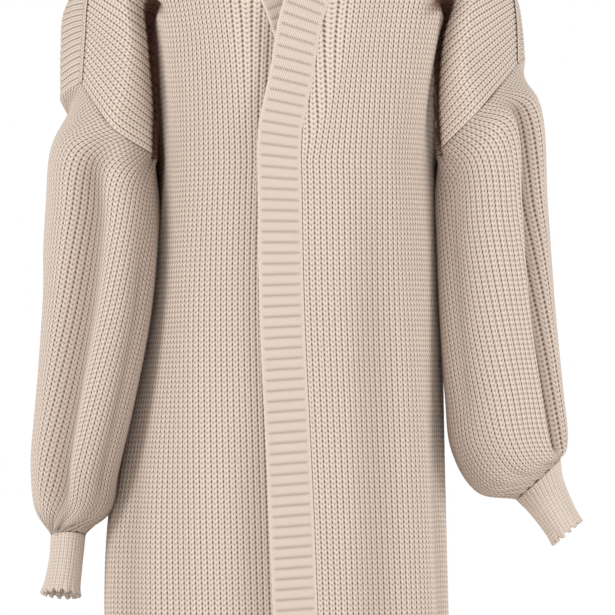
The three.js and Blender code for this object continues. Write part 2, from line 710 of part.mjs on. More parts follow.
// The plain inside has a column at each armhole corner and halfway, and one for each rib of a
// deep fold, which it has to follow.
function sleeveInsideColumns(folds) {
  const columns = new Set([0]);
  let at = 0;
  for (const edge of sleeveColumns()) {
    columns.add(at + edge / 2);
    at += edge;
    columns.add(at);
  }
  for (const fold of folds.filter(({ depth }) => depth > DEEP_FOLD)) {
    const reach = fold.width + 1;
    for (let rib = fold.rib - reach; rib <= fold.rib + reach; rib++) columns.add(2 * rib);
  }
  return [...columns].sort((a, b) => a - b);
}

function sleeveSolid(side, hole, color) {
  const count = 2 * (SLEEVE_FRONT_RIBS + SLEEVE_BACK_RIBS);
  const start = armholeRing(hole);
  const rings = SLEEVE_RINGS[side].map((row) => ringPoints(row, count, SLEEVE_POWER));
  const smooth = [start.points, ...rings];
  const smoothNormals = gridNormals(smooth, true, outwardSign(smooth));
  const points = foldSleeve(smooth, smoothNormals, SLEEVE_FOLDS[side]);
  const normals = gridNormals(points, true, outwardSign(points));
  normals[0] = start.normals;
  const last = points.length - 1;
  normals[last] = flattenNormals(normals[last], ringAxis(points[last]));
  const grooved = (i, j) => i === 0 || i === last || j % 2 === 0;
  const insideColumns = sleeveInsideColumns(SLEEVE_FOLDS[side]);
  return clothSolid({
    name: "sleeve_" + side,
    outside: offset(points, normals, (i, j) => (grooved(i, j) ? RIB_DEPTH : 0)),
    inside: offset(points, normals, () => WALL),
    insideRows: everyRow(points),
    insideColumns,
    closed: true,
    color,
  });
}

// Whether the cross of across and along points away from the ring's own middle.
function outwardSign(points) {
  const ring = points[1];
  const middle = new THREE.Vector3();
  ring.slice(1).forEach((point) => middle.addScaledVector(point, 1 / (ring.length - 1)));
  const across = ring[1].clone().sub(ring[0]);
  const along = points[2][0].clone().sub(points[0][0]);
  return across.cross(along).dot(ring[0].clone().sub(middle)) > 0 ? 1 : -1;
}

function cuffSolid(side, color) {
  const count = 2 * CUFF_RIBS;
  const seamRow = SLEEVE_RINGS[side].at(-1);
  const rings = [seamRow, ...CUFF_RINGS[side]].map((row) => ringPoints(row, count, CUFF_POWER));
  const axis = ringAxis(rings[0]);
  rings[0] = rings[0].map((point) => point.addScaledVector(axis, SEAM_GAP));
  const endAxis = ringAxis(rings.at(-1));
  const last = rings.length - 1;
  rings[last] = rings[last].map((point, j) => {
    const wave = Math.cos((2 * Math.PI * CUFF_SCALLOPS * j) / count);
    return point.addScaledVector(endAxis, CUFF_SCALLOP_DEPTH * wave);
  });
  const normals = gridNormals(rings, true, outwardSign(rings));
  normals[0] = flattenNormals(normals[0], axis);
  return clothSolid({
    name: "cuff_" + side,
    outside: offset(rings, normals, (i, j) => (i === 0 || j % 2 === 0 ? RIB_DEPTH : 0)),
    inside: offset(rings, normals, () => WALL),
    insideRows: everyRow(rings),
    insideColumns: everyFew(count, 2),
    closed: true,
    color,
  });
}

// The band follows the front's edge, the back of the neck and the other front's edge

function frontEdge(front, side) {
  const last = front.points[0].length - 1;
  const top = front.points.length - 1;
  const edge = front.points.map((_, row) => ({ row, column: last }));
  for (let column = last - 2; column >= 2 * NECK_RIB; column -= 2) edge.push({ row: top, column });
  return edge.map(({ row, column }) => ({
    place: front.points[row][column],
    normal: front.normals[row][column],
    side,
  }));
}

function bandPath(fronts, back) {
  const right = frontEdge(fronts.right, "right");
  const left = frontEdge(fronts.left, "left");
  const top = back.points.length - 1;
  const neck = [];
  const step = 2 * INSIDE_RIBS;
  for (let column = 2 * (BACK_RIBS - NECK_RIB) - step; column > 2 * NECK_RIB; column -= step) {
    neck.push({ place: back.points[top][column], normal: back.normals[top][column], side: "back" });
  }
  for (const run of [right, left]) {
    let up = 0;
    run.forEach((mark, i) => {
      if (i > 0) up += mark.place.distanceTo(run[i - 1].place);
      mark.up = up;
    });
    run.forEach((mark) => (mark.across = readPoint(BAND_STEPS[mark.side], "up", mark.up)));
  }
  const [from, to] = [right.at(-1).across, left.at(-1).across];
  neck.forEach((mark, i) => {
    const t = (i + 1) / (neck.length + 1);
    const turn = from.clone().lerp(to, t);
    const middle = new THREE.Vector3(BACK_NECK_STEP.x, BACK_NECK_STEP.y, BACK_NECK_STEP.z);
    mark.across = turn.lerp(middle, Math.sin(Math.PI * t));
  });
  const path = [...right, ...neck, ...left.reverse()];
  path.forEach(turnTowardsBand);
  return path;
}

// The rim that a panel shares with the band stands halfway between the two.
function turnTowardsBand(mark, i, path) {
  const before = path[Math.max(0, i - 1)].place;
  const after = path[Math.min(path.length - 1, i + 1)].place;
  const own = mark.across.clone().cross(after.clone().sub(before)).normalize();
  if (own.dot(mark.normal) < 0) own.negate();
  mark.normal.add(own).normalize();
}

// Between two marks of a neck edge the rim turns evenly.
function evenNeckNormals(normals, first, last, step) {
  for (let column = first; column < last; column += step) {
    for (let k = 1; k < step; k++) {
      normals[column + k] = normals[column].clone().lerp(normals[column + step], k / step);
    }
  }
}

function bandSolid(fronts, back, color) {
  const path = bandPath(fronts, back);
  const points = [];
  const normals = [];
  const insideRows = [0];
  for (let i = 0; i < path.length - 1; i++) {
    const [a, b] = [path[i], path[i + 1]];
    const rows = Math.max(1, Math.round(a.place.distanceTo(b.place) / BAND_RIB_ROW));
    for (let n = i === 0 ? 0 : 1; n <= rows; n++) {
      const t = n / rows;
      const across = a.across.clone().lerp(b.across, t);
      const seam = a.place.clone().lerp(b.place, t).add(across.clone().setLength(BAND_GAP));
      points.push([seam, seam.clone().add(across)]);
      const along = b.place.clone().sub(a.place);
      const standing = a.normal.clone().lerp(b.normal, t);
      const own = across.clone().cross(along).normalize();
      if (own.dot(standing) < 0) own.negate();
      normals.push([standing, own]);
    }
    const parts = Math.max(1, Math.round(rows / 4));
    const first = points.length - 1 - rows;
    for (let n = 1; n <= parts; n++) insideRows.push(first + Math.round((rows * n) / parts));
  }
  return clothSolid({
    name: "front_band",
    outside: offset(points, normals, (i) => (i % 2 === 0 ? BAND_RIB_DEPTH : 0)),
    inside: offset(points, normals, () => WALL),
    insideRows,
    insideColumns: [0, 1],
    closed: false,
    color,
  });
}

function makePanel(points, sign) {
  return { points, normals: gridNormals(points, false, sign) };
}

// Where a front and the back are sewn together, their rims stand alike.
function joinNormals(front, back, isLeft) {
  const lastBack = back.points[0].length - 1;
  const top = front.points.length - 1;
  for (let row = 0; row < BODY_SECTIONS.length; row++) {
    shareNormal(front.normals, row, 0, back.normals, row, isLeft ? 0 : lastBack);
  }
  for (let j = 0; j <= 2 * NECK_RIB; j++) {
    shareNormal(front.normals, top, j, back.normals, top, isLeft ? j : lastBack - j);
  }
}

function joinNeck(fronts, back) {
  const top = back.points.length - 1;
  const first = 2 * NECK_RIB;
  const last = 2 * (BACK_RIBS - NECK_RIB);
  for (const front of [fronts.left, fronts.right]) {
    evenNeckNormals(front.normals[top], first, 2 * FRONT_RIBS, 2);
  }
  back.normals[top][first] = fronts.left.normals[top][first].clone();
  back.normals[top][last] = fronts.right.normals[top][first].clone();
  evenNeckNormals(back.normals[top], first, last, 2 * INSIDE_RIBS);
}

function cardigan() {
  const fronts = {
    left: makePanel(frontPoints("left"), 1),
    right: makePanel(frontPoints("right"), -1),
  };
  const back = makePanel(backPoints(), -1);
  joinNormals(fronts.left, back, true);
  joinNormals(fronts.right, back, false);
  const holes = {
    left: armhole(fronts.left, back, 0),
    right: armhole(fronts.right, back, 2 * BACK_RIBS),
  };
  const yarn = 0xe0d0bf;
  const group = new THREE.Group();
  group.add(bandSolid(fronts, back, yarn));
  joinNeck(fronts, back);
  for (const side of ["left", "right"]) {
    group.add(sleeveSolid(side, holes[side], yarn));
    group.add(cuffSolid(side, yarn));
    openSeams(fronts[side].points, ["start"]);
    group.add(panelSolid("front_" + side, fronts[side], frontInsideColumns(), yarn));
  }
  openSeams(back.points, ["start", "end"]);
  group.add(panelSolid("back", back, everyFew(2 * BACK_RIBS, 2 * INSIDE_RIBS), yarn));
  return group;
}

export default cardigan();
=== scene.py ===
# %% [markdown]
# # A duster cardigan in chunky rib knit
#
# The garment hangs filled out. Its cloth was cut and sewn as solids first, and this lesson dresses
# those solids: each piece of cloth is rebuilt on the same form with rounded ribs, stitches, creases
# and seams, and then the camera and the light are set as in a shop photograph.

# %% Frame
import math
import bpy
import bmesh
import numpy as np
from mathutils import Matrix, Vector


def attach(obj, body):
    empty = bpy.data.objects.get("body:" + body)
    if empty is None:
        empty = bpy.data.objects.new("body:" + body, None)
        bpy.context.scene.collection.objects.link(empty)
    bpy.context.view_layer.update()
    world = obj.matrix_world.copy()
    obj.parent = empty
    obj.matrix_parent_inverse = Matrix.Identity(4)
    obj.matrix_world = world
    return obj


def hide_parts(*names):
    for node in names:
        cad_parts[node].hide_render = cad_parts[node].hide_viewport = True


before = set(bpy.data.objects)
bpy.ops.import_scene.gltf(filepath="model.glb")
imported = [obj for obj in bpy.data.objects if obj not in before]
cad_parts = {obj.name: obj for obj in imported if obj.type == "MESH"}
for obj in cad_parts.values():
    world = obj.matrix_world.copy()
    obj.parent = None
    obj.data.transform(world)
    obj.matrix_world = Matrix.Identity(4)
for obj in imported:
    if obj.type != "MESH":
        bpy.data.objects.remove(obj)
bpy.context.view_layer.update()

MM = 0.001

# %% [markdown]
# ## Sizes of the cut
#
# A knitter would write these down as a schematic. All are in millimetres: X runs across the front,
# Y from front to back and Z up, from a point between the two ends of the shoulder seams.

# %% Sizes
WALL = 3.2
RIB_PITCH = 6.1
FRONT_RIBS = 45
BACK_RIBS = 90
NECK_RIB = 39
SLEEVE_FRONT_RIBS = 40
SLEEVE_BACK_RIBS = 30
CUFF_RIBS = 30
COLUMNS_PER_RIB = 4

# The body's outline from the hem up: its edges in X and Y, the Y where it is widest, and the Y of
# the side seams.
BODY_SECTIONS = [
    dict(z=-1080, left=-164, right=170, wide=0, front=-134, back=132, seam=60),
    dict(z=-650, left=-183, right=159.5, wide=10, front=-133, back=130, seam=52),
    dict(z=-410, left=-141, right=155, wide=26, front=-127, back=118, seam=22),
    dict(z=-286, left=-134, right=151, wide=36, front=-121, back=109, seam=-3),
    dict(z=-272, left=-134, right=151, wide=36, front=-120, back=108, seam=-5),
]
# What the same outlines carry: the X of each front's free edge, the depth of the back's folds, and
# how far the cloth turns out beside the side seam.
BODY_DETAILS = [
    dict(leftEdge=2, rightEdge=42, folds=9, lip=0),
    dict(leftEdge=-14, rightEdge=27, folds=8, lip=0),
    dict(leftEdge=-20, rightEdge=16, folds=3, lip=0),
    dict(leftEdge=-17.5, rightEdge=13.5, folds=0, lip=0),
    dict(leftEdge=-17, rightEdge=13, folds=0, lip=1.5),
]
SECTION_POWER = 2.4
EVEN_RIBS = 16
SQUEEZE_POWER = 1.25
LIP_RIBS = 7
BACK_FOLD_WIDTH = 96
BACK_FOLD_FADE = 24

# The right front lies this far in front of the left one at the top, and the step fades out from
# the first x and z over the distances across and down.
LAP = 9
LAP_FADE = dict(x=30, across=80, z=-30, down=40)

# The top edges. Ribs are counted from the side seam, and on the back from its left one.
SHOULDER_SEAM = {
    "left": [
        dict(rib=0, x=-208, y=-40, z=-192),
        dict(rib=7, x=-205, y=-36, z=-145),
        dict(rib=13, x=-203, y=-32, z=-112),
        dict(rib=18, x=-196, y=-25, z=-80),
        dict(rib=24, x=-170, y=-10, z=-48),
        dict(rib=30, x=-134, y=-2, z=-28),
        dict(rib=39, x=-88, y=2, z=-6),
    ],
    "right": [
        dict(rib=0, x=232, y=-8, z=-172),
        dict(rib=7, x=231, y=-4, z=-130),
        dict(rib=13, x=226, y=0, z=-98),
        dict(rib=18, x=212, y=0, z=-72),
        dict(rib=24, x=176, y=0, z=-46),
        dict(rib=30, x=136, y=1, z=-28),
        dict(rib=39, x=88, y=2, z=-6),
    ],
}
FRONT_NECK = {
    "left": [
        dict(rib=39, x=-88, y=2, z=-6),
        dict(rib=40.5, x=-64, y=-72, z=-50),
        dict(rib=42, x=-36, y=-98, z=-94),
        dict(rib=43.5, x=-22, y=-107, z=-124),
        dict(rib=45, x=-12, y=-112, z=-155),
    ],
    "right": [
        dict(rib=39, x=88, y=2, z=-6),
        dict(rib=40.5, x=66, y=-75, z=-50),
        dict(rib=42, x=36, y=-110, z=-128),
        dict(rib=43.5, x=25, y=-116, z=-190),
        dict(rib=45, x=14, y=-119, z=-241),
    ],
}
BACK_NECK = [
    dict(rib=39, x=-88, y=2, z=-6),
    dict(rib=42, x=-52, y=38, z=-17),
    dict(rib=45, x=0, y=54, z=-22),
    dict(rib=48, x=52, y=38, z=-17),
    dict(rib=51, x=88, y=2, z=-6),
]

# On its way over the shoulder each rib passes a low point, in the fold beside the armpit, and an
# upper point.
FRONT_YOKE = {
    "left": [
        dict(rib=0, lowX=-131, lowY=-46, lowZ=-267, upX=-175, upY=-80, upZ=-239),
        dict(rib=7, lowX=-131, lowY=-38, lowZ=-222, upX=-162, upY=-83, upZ=-192),
        dict(rib=13, lowX=-135, lowY=-40, lowZ=-168, upX=-158, upY=-80, upZ=-146),
        dict(rib=18, lowX=-137, lowY=-54, lowZ=-122, upX=-164, upY=-70, upZ=-98),
        dict(rib=24, lowX=-126, lowY=-84, lowZ=-118, upX=-148, upY=-66, upZ=-62),
        dict(rib=30, lowX=-102, lowY=-103, lowZ=-132, upX=-118, upY=-76, upZ=-58),
        dict(rib=39, lowX=-58, lowY=-114, lowZ=-168, upX=-68, upY=-98, upZ=-86),
        dict(rib=42, lowX=-36, lowY=-118, lowZ=-212, upX=-36, upY=-113, upZ=-150),
        dict(rib=45, lowX=-16, lowY=-119, lowZ=-235, upX=-13, upY=-117, upZ=-195),
    ],
    "right": [
        dict(rib=0, lowX=149, lowY=-46, lowZ=-263, upX=188, upY=-76, upZ=-224),
        dict(rib=7, lowX=147, lowY=-42, lowZ=-216, upX=172, upY=-76, upZ=-182),
        dict(rib=13, lowX=150, lowY=-46, lowZ=-156, upX=180, upY=-72, upZ=-126),
        dict(rib=18, lowX=160, lowY=-56, lowZ=-116, upX=186, upY=-60, upZ=-84),
        dict(rib=24, lowX=140, lowY=-84, lowZ=-118, upX=158, upY=-64, upZ=-60),
        dict(rib=30, lowX=108, lowY=-103, lowZ=-132, upX=122, upY=-76, upZ=-58),
        dict(rib=39, lowX=60, lowY=-114, lowZ=-172, upX=70, upY=-98, upZ=-88),
        dict(rib=42, lowX=38, lowY=-117, lowZ=-220, upX=37, upY=-114, upZ=-174),
        dict(rib=45, lowX=13, lowY=-120, lowZ=-262, upX=13.5, upY=-120, upZ=-252),
    ],
}
BACK_YOKE = [
    dict(rib=0, lowX=-180, lowY=62, lowZ=-248, upX=-229, upY=16, upZ=-210),
    dict(rib=7, lowX=-176, lowY=84, lowZ=-205, upX=-229, upY=28, upZ=-160),
    dict(rib=13, lowX=-168, lowY=92, lowZ=-172, upX=-225, upY=34, upZ=-120),
    dict(rib=18, lowX=-156, lowY=97, lowZ=-152, upX=-204, upY=46, upZ=-88),
    dict(rib=24, lowX=-134, lowY=102, lowZ=-142, upX=-166, upY=62, upZ=-66),
    dict(rib=30, lowX=-104, lowY=105, lowZ=-140, upX=-124, upY=70, upZ=-60),
    dict(rib=45, lowX=0, lowY=110, lowZ=-145, upX=0, upY=84, upZ=-64),
    dict(rib=60, lowX=104, lowY=105, lowZ=-140, upX=126, upY=70, upZ=-60),
    dict(rib=66, lowX=136, lowY=102, lowZ=-142, upX=170, upY=62, upZ=-66),
    dict(rib=72, lowX=160, lowY=98, lowZ=-150, upX=210, upY=50, upZ=-86),
    dict(rib=77, lowX=176, lowY=92, lowZ=-166, upX=229, upY=40, upZ=-112),
    dict(rib=83, lowX=186, lowY=86, lowZ=-192, upX=235, upY=38, upZ=-138),
    dict(rib=90, lowX=194, lowY=74, lowZ=-226, upX=238, upY=36, upZ=-168),
]

# Outlines of the sleeves and cuffs from the armhole down: the outer and the inner point in X and Z,
# the front and the back in Y, how much lower the back lies, and how far forwards the inner end is.
SLEEVE_RINGS = {
    "left": [
        dict(outerX=-236, outerZ=-250, innerX=-129, innerZ=-306, front=-82, back=60, tilt=0, shear=10),
        dict(outerX=-244, outerZ=-318, innerX=-130, innerZ=-356, front=-84, back=50, tilt=0, shear=28),
        dict(outerX=-249, outerZ=-412, innerX=-137, innerZ=-428, front=-84, back=46, tilt=0, shear=38),
        dict(outerX=-255, outerZ=-500, innerX=-152.5, innerZ=-510, front=-84, back=44, tilt=0, shear=44),
        dict(outerX=-260, outerZ=-575, innerX=-169, innerZ=-582, front=-82, back=42, tilt=0, shear=34),
        dict(outerX=-255, outerZ=-620, innerX=-177, innerZ=-622, front=-72, back=30, tilt=0, shear=15),
        dict(outerX=-238, outerZ=-646, innerX=-203, innerZ=-646, front=-50, back=2, tilt=4, shear=0),
    ],
    "right": [
        dict(outerX=252, outerZ=-208, innerX=147, innerZ=-302, front=-72, back=78, tilt=0, shear=15),
        dict(outerX=262, outerZ=-318, innerX=148.5, innerZ=-354, front=-66, back=76, tilt=0, shear=30),
        dict(outerX=269, outerZ=-412, innerX=151.5, innerZ=-430, front=-64, back=74, tilt=0, shear=40),
        dict(outerX=277, outerZ=-496, innerX=157, innerZ=-506, front=-64, back=72, tilt=0, shear=40),
        dict(outerX=282, outerZ=-548, innerX=164, innerZ=-562, front=-62, back=68, tilt=0, shear=30),
        dict(outerX=280, outerZ=-562, innerX=190, innerZ=-604, front=-50, back=56, tilt=0, shear=15),
        dict(outerX=274, outerZ=-570, innerX=229, innerZ=-611, front=-24, back=30, tilt=0, shear=0),
    ],
}
CUFF_RINGS = {
    "left": [
        dict(outerX=-240, outerZ=-672, innerX=-206, innerZ=-674, front=-49, back=0, tilt=6, shear=0),
        dict(outerX=-247, outerZ=-703, innerX=-209, innerZ=-706, front=-50, back=-2, tilt=4, shear=0),
    ],
    "right": [
        dict(outerX=277, outerZ=-590, innerX=243, innerZ=-625, front=-22, back=26, tilt=0, shear=0),
        dict(outerX=294, outerZ=-631, innerX=266, innerZ=-655, front=-24, back=24, tilt=0, shear=0),
    ],
}
SLEEVE_POWER = 2.2
CUFF_POWER = 2

# The step from the panels' edge to the band's free edge, by the distance up from the hem.
BAND_STEPS = {
    "left": [
        dict(up=0, x=44, y=0.5, z=0),
        dict(up=850, x=44, y=0.5, z=2),
        dict(up=930, x=42, y=2, z=10),
        dict(up=1000, x=37, y=6, z=22),
        dict(up=1060, x=32, y=8, z=29),
        dict(up=1140, x=28, y=4, z=33),
    ],
    "right": [
        dict(up=0, x=-44, y=-1, z=0),
        dict(up=760, x=-44, y=-1, z=1),
        dict(up=850, x=-43, y=-2, z=8),
        dict(up=950, x=-41, y=-2, z=15),
        dict(up=1060, x=-32, y=6, z=29),
        dict(up=1140, x=-28, y=4, z=33),
    ],
}
BACK_NECK_STEP = (0, -14, 40)

# %% [markdown]
# ## Reading between the rows
#
# Cloth has no corners between two measured points, so every table is read through a smooth curve.


# %% Curves
def read(table, key, at, column):
    rising = table[1][key] > table[0][key]
    i = 0
    while i < len(table) - 2 and (at > table[i + 1][key] if rising else at < table[i + 1][key]):
        i += 1
    a, b = table[i], table[i + 1]
    span = b[key] - a[key]
    t = (at - a[key]) / span

    def slope(p, q):
        return (q[column] - p[column]) / (q[key] - p[key])

    chord = slope(a, b)
    start = (slope(table[i - 1], a) + chord) / 2 if i > 0 else chord
    end = (chord + slope(b, table[i + 2])) / 2 if i < len(table) - 2 else chord
    return (
        (2 * t**3 - 3 * t**2 + 1) * a[column]
        + (t**3 - 2 * t**2 + t) * span * start
        + (3 * t**2 - 2 * t**3) * b[column]
        + (t**3 - t**2) * span * end
    )


def read_point(table, key, at, columns=("x", "y", "z")):
    return np.array([read(table, key, at, column) for column in columns])


def ease(t):
    t = np.clip(t, 0, 1)
    return t * t * (3 - 2 * t)


def hump(distance, width):
    near = np.abs(distance) < width
    return np.where(near, 0.5 + 0.5 * np.cos(np.pi * distance / width), 0)


# A smooth curve through four rows of points, at a share of the way from the second to the third.
def between(p0, p1, p2, p3, share):
    def knot(a, b):
        return np.maximum(((b - a) ** 2).sum(-1, keepdims=True) ** 0.25, 1e-3)

    d0, d1, d2 = knot(p0, p1), knot(p1, p2), knot(p2, p3)
    leaving = ((p1 - p0) / d0 - (p2 - p0) / (d0 + d1) + (p2 - p1) / d1) * d1
    arriving = ((p2 - p1) / d1 - (p3 - p1) / (d1 + d2) + (p3 - p2) / d2) * d1
    t = share
    return (
        p1
        + leaving * t
        + (3 * (p2 - p1) - 2 * leaving - arriving) * t**2
        + (2 * (p1 - p2) + leaving + arriving) * t**3
    )


def refine(rows, counts):
    rows = np.asarray(rows, float)
    padded = np.concatenate([[2 * rows[0] - rows[1]], rows, [2 * rows[-1] - rows[-2]]])
    fine = []
    for i, count in enumerate(counts):
        for k in range(count):
            fine.append(between(*padded[i : i + 4], k / count))
    return np.array([*fine, rows[-1]])


# %% [markdown]
# ## The body's cloth
#
# The two fronts and the back hang as one tube, cut at the side seams. Each rib is one column of
# points that climbs from the hem, over the chest or the shoulder blade, to the seam at the top.


# %% Body
def round_outline(reach, power, steps=48):
    outline = []
    for i in range(steps + 1):
        angle = math.pi * i / steps
        out = math.sin(angle) ** (2 / power)
        ahead = math.copysign(abs(math.cos(angle)) ** (2 / power), math.cos(angle))
        outline.append(reach(out, ahead))
    outline = np.array(outline)
    walked = np.concatenate([[0], np.cumsum(np.hypot(*np.diff(outline, axis=0).T))])
    return outline, walked


def at_distance(outline, walked, distance):
    return np.array([np.interp(distance, walked, outline[:, k]) for k in range(2)])


def half_body(section, side):
    middle = (section["left"] + section["right"]) / 2
    reach = section[side] - middle

    def point(out, ahead):
        edge = section["front"] if ahead > 0 else section["back"]
        return middle + reach * out, section["wide"] + abs(ahead) * (edge - section["wide"])

    return round_outline(point, SECTION_POWER)


HALVES = {
    (row, side): half_body(section, side)
    for row, section in enumerate(BODY_SECTIONS)
    for side in ("left", "right")
}


def seam_distance(row, side):
    outline, walked = HALVES[row, side]
    return walked[np.argmax(outline[:, 1] > BODY_SECTIONS[row]["seam"])]


def turned_out(row, side, from_seam):
    sign = -1 if side == "left" else 1
    return sign * BODY_DETAILS[row]["lip"] * (1 - ease(from_seam / LIP_RIBS))


def front_row(row, side, rib):
    section, detail = BODY_SECTIONS[row], BODY_DETAILS[row]
    outline, walked = HALVES[row, side]
    sign = -1 if side == "left" else 1
    edge = detail[side + "Edge"]
    middle = (section["left"] + section["right"]) / 2
    start = max(0, sign * (edge - middle))
    whole = seam_distance(row, side) - start
    count = FRONT_RIBS - rib
    squeeze = (RIB_PITCH * FRONT_RIBS - whole) / (FRONT_RIBS - EVEN_RIBS) ** SQUEEZE_POWER
    distance = RIB_PITCH * count - squeeze * max(0, count - EVEN_RIBS) ** SQUEEZE_POWER
    x, y = at_distance(outline, walked, start + distance)
    if sign * (edge - middle) < 0:
        x += (edge - middle) * rib / FRONT_RIBS
    return np.array([x + turned_out(row, side, rib), y, section["z"]])


def back_row(row, rib):
    section, detail = BODY_SECTIONS[row], BODY_DETAILS[row]
    side = "left" if rib < BACK_RIBS / 2 else "right"
    outline, walked = HALVES[row, side]
    whole = walked[-1]
    from_middle = abs(rib - BACK_RIBS / 2) / (BACK_RIBS / 2)
    distance = whole - (whole - seam_distance(row, side)) * from_middle
    x, y = at_distance(outline, walked, distance)
    from_seam = min(rib, BACK_RIBS - rib)
    across = (whole - distance) * (-1 if side == "left" else 1)
    wave = 0.5 - 0.5 * math.cos(2 * math.pi * across / BACK_FOLD_WIDTH)
    fold = detail["folds"] * wave * ease(from_seam / BACK_FOLD_FADE)
    return np.array([x + turned_out(row, side, from_seam), y - fold, section["z"]])


def lap_over(points):
    across = 1 - ease((points[..., 0] - LAP_FADE["x"]) / LAP_FADE["across"])
    down = ease((LAP_FADE["z"] - points[..., 2]) / LAP_FADE["down"])
    points[..., 1] -= LAP * across * down


# The fold beside each armpit is deeper than its rib's lower point alone: depth is how far the
# cloth tucks in, width how wide the tuck is, and it fades out between two ribs. Hardly any light
# gets in, so a painted shade darkens the colour from a little below the low point to a little above it.
ARMPIT_TUCK = dict(depth=18, width=10, fade_from=12, fade_to=28)
SHADE_ABOVE = dict(from_low=6, soft=12)
SHADE_BELOW = dict(from_low=4, soft=10)
# Rows of points between two rows of the tables, from the hem up. Six steps up lies the low point.
BODY_ROWS = [46, 26, 14, 2, 5, 10, 16, 5, 5]
LOW_ROW = sum(BODY_ROWS[:6])


def tuck(points, normals):
    walked = np.linalg.norm(np.diff(points, axis=0), axis=-1).cumsum(0)
    walked = np.concatenate([np.zeros((1, points.shape[1])), walked])
    from_low = walked - walked[LOW_ROW]
    rib = np.arange(points.shape[1]) / COLUMNS_PER_RIB
    reach = ARMPIT_TUCK["fade_to"] - ARMPIT_TUCK["fade_from"]
    fade = 1 - ease((rib - ARMPIT_TUCK["fade_from"]) / reach)
    fade = fade * (0.35 + 0.65 * ease(rib / 6))
    share = fade[None, :] * hump(from_low, ARMPIT_TUCK["width"])
    above = 1 - ease((from_low - SHADE_ABOVE["from_low"]) / SHADE_ABOVE["soft"])
    below = 1 - ease((-from_low - SHADE_BELOW["from_low"]) / SHADE_BELOW["soft"])
    painted_armpit_shade = np.maximum(share, above * below * fade[None, :])
    return points - normals * (ARMPIT_TUCK["depth"] * share)[..., None], painted_armpit_shade


# Two extra rows keep the curve close to the body: one between the armhole and the low point,
# nearly straight at the side seam, and one between the upper point and the top edge.
FIRST_SHARE = 0.6
STRAIGHT_SHARE = 0.45
LAST_SHARE = 0.5


def panel_points(ribs, row_at, from_seam, yoke, top_at):
    rib_at = np.arange(ribs * COLUMNS_PER_RIB + 1) / COLUMNS_PER_RIB
    lower = [np.array([row_at(row, rib) for rib in rib_at]) for row in range(len(BODY_SECTIONS))]
    low = np.array([read_point(yoke, "rib", rib, ("lowX", "lowY", "lowZ")) for rib in rib_at])
    up = np.array([read_point(yoke, "rib", rib, ("upX", "upY", "upZ")) for rib in rib_at])
    top = np.array([top_at(rib) for rib in rib_at])
    below, under = lower[-2:]
    straight = 1 - ease((from_seam(rib_at) - LIP_RIBS) / LIP_RIBS)[:, None]
    first = between(below, under, low, up, FIRST_SHARE)
    chord = under * STRAIGHT_SHARE + low * (1 - STRAIGHT_SHARE)
    first = first * (1 - straight) + chord * straight
    last = between(low, up, top, 2 * top - up, LAST_SHARE)
    return refine([*lower, first, low, up, last, top], BODY_ROWS)


def front_points(side):
    def top(rib):
        table = SHOULDER_SEAM if rib <= NECK_RIB else FRONT_NECK
        return read_point(table[side], "rib", rib)

    points = panel_points(
        FRONT_RIBS, lambda row, rib: front_row(row, side, rib), lambda rib: rib, FRONT_YOKE[side], top
    )
    if side == "right":
        lap_over(points)
    return points


def back_points():
    def top(rib):
        if rib <= NECK_RIB:
            return read_point(SHOULDER_SEAM["left"], "rib", rib)
        if rib >= BACK_RIBS - NECK_RIB:
            return read_point(SHOULDER_SEAM["right"], "rib", BACK_RIBS - rib)
        return read_point(BACK_NECK, "rib", rib)

    return panel_points(
        BACK_RIBS, back_row, lambda rib: np.minimum(rib, BACK_RIBS - rib), BACK_YOKE, top
    )


panels = {
    "front_left": front_points("left"),
    "front_right": front_points("right"),
    "back": back_points(),
}
for name, points in panels.items():
    print(name, "has", points.shape[0], "rows of", points.shape[1], "points")


# %% [markdown]
# ## Creases and ribs
#
# Worn knit never hangs flat: long soft troughs run down from the bust and the elbows. Each crease
# is a row of a table: which rib it starts at, how far it drifts sideways, how wide and how deep it
# is, and where it starts and ends. Moving points along the cloth's own normal keeps the form.
# The ribs come afterwards in the same way, rounded, with a narrow groove between them.


# %% Relief
def grid_normals(points, closed):
    if closed:
        ring = points[:, :-1]
        across = np.roll(ring, -1, 1) - np.roll(ring, 1, 1)
        across = np.concatenate([across, across[:, :1]], 1)
    else:
        across = np.gradient(points, axis=1)
    along = np.gradient(points, axis=0)
    normals = np.cross(across, along)
    return normals / np.maximum(np.linalg.norm(normals, axis=-1, keepdims=True), 1e-9)


def outward(points, closed, centre):
    normals = grid_normals(points, closed)
    middle = points[len(points) // 3]
    facing = (normals[len(points) // 3] * (middle - centre)).sum()
    return normals if facing > 0 else -normals


# Wool loses the light in a deep fold, so the colour there is darkened towards a warm dark brown:
# a painted shade that every piece of cloth carries as an attribute, from 0 on the open cloth to 1.
FOLD_FULLY_SHADED = 40
CREASE_FADE = 0.22
CREASE_SWING = 0.6
CREASE_WAVES = 7


def crease(points, normals, creases, ribs, closed):
    rows, columns = points.shape[:2]
    rib = np.arange(columns)[None, :] / COLUMNS_PER_RIB
    down = 1 - np.arange(rows)[:, None] / (rows - 1)
    depth = np.zeros((rows, columns))
    for c in creases:
        span = (down - c["start"]) / (c["end"] - c["start"])
        fade = ease(span / CREASE_FADE) * ease((1 - span) / CREASE_FADE)
        swing = CREASE_SWING * np.sin(CREASE_WAVES * down + c["rib"])
        distance = np.abs(rib - c["rib"] - c["drift"] * span - swing)
        if closed:
            distance = np.minimum(distance, ribs - distance)
        depth += c["depth"] * fade * hump(distance, c["width"])
    # A crease also darkens the colour with painted shade, in step with its depth.
    return points - normals * depth[..., None], np.clip(depth / FOLD_FULLY_SHADED, 0, 1)


RIB_DEPTH = 1.15
RIB_FULLNESS = 0.7


def rib_relief(columns):
    rib = np.arange(columns) / COLUMNS_PER_RIB
    return RIB_DEPTH * (1 - np.abs(np.sin(np.pi * rib)) ** RIB_FULLNESS)


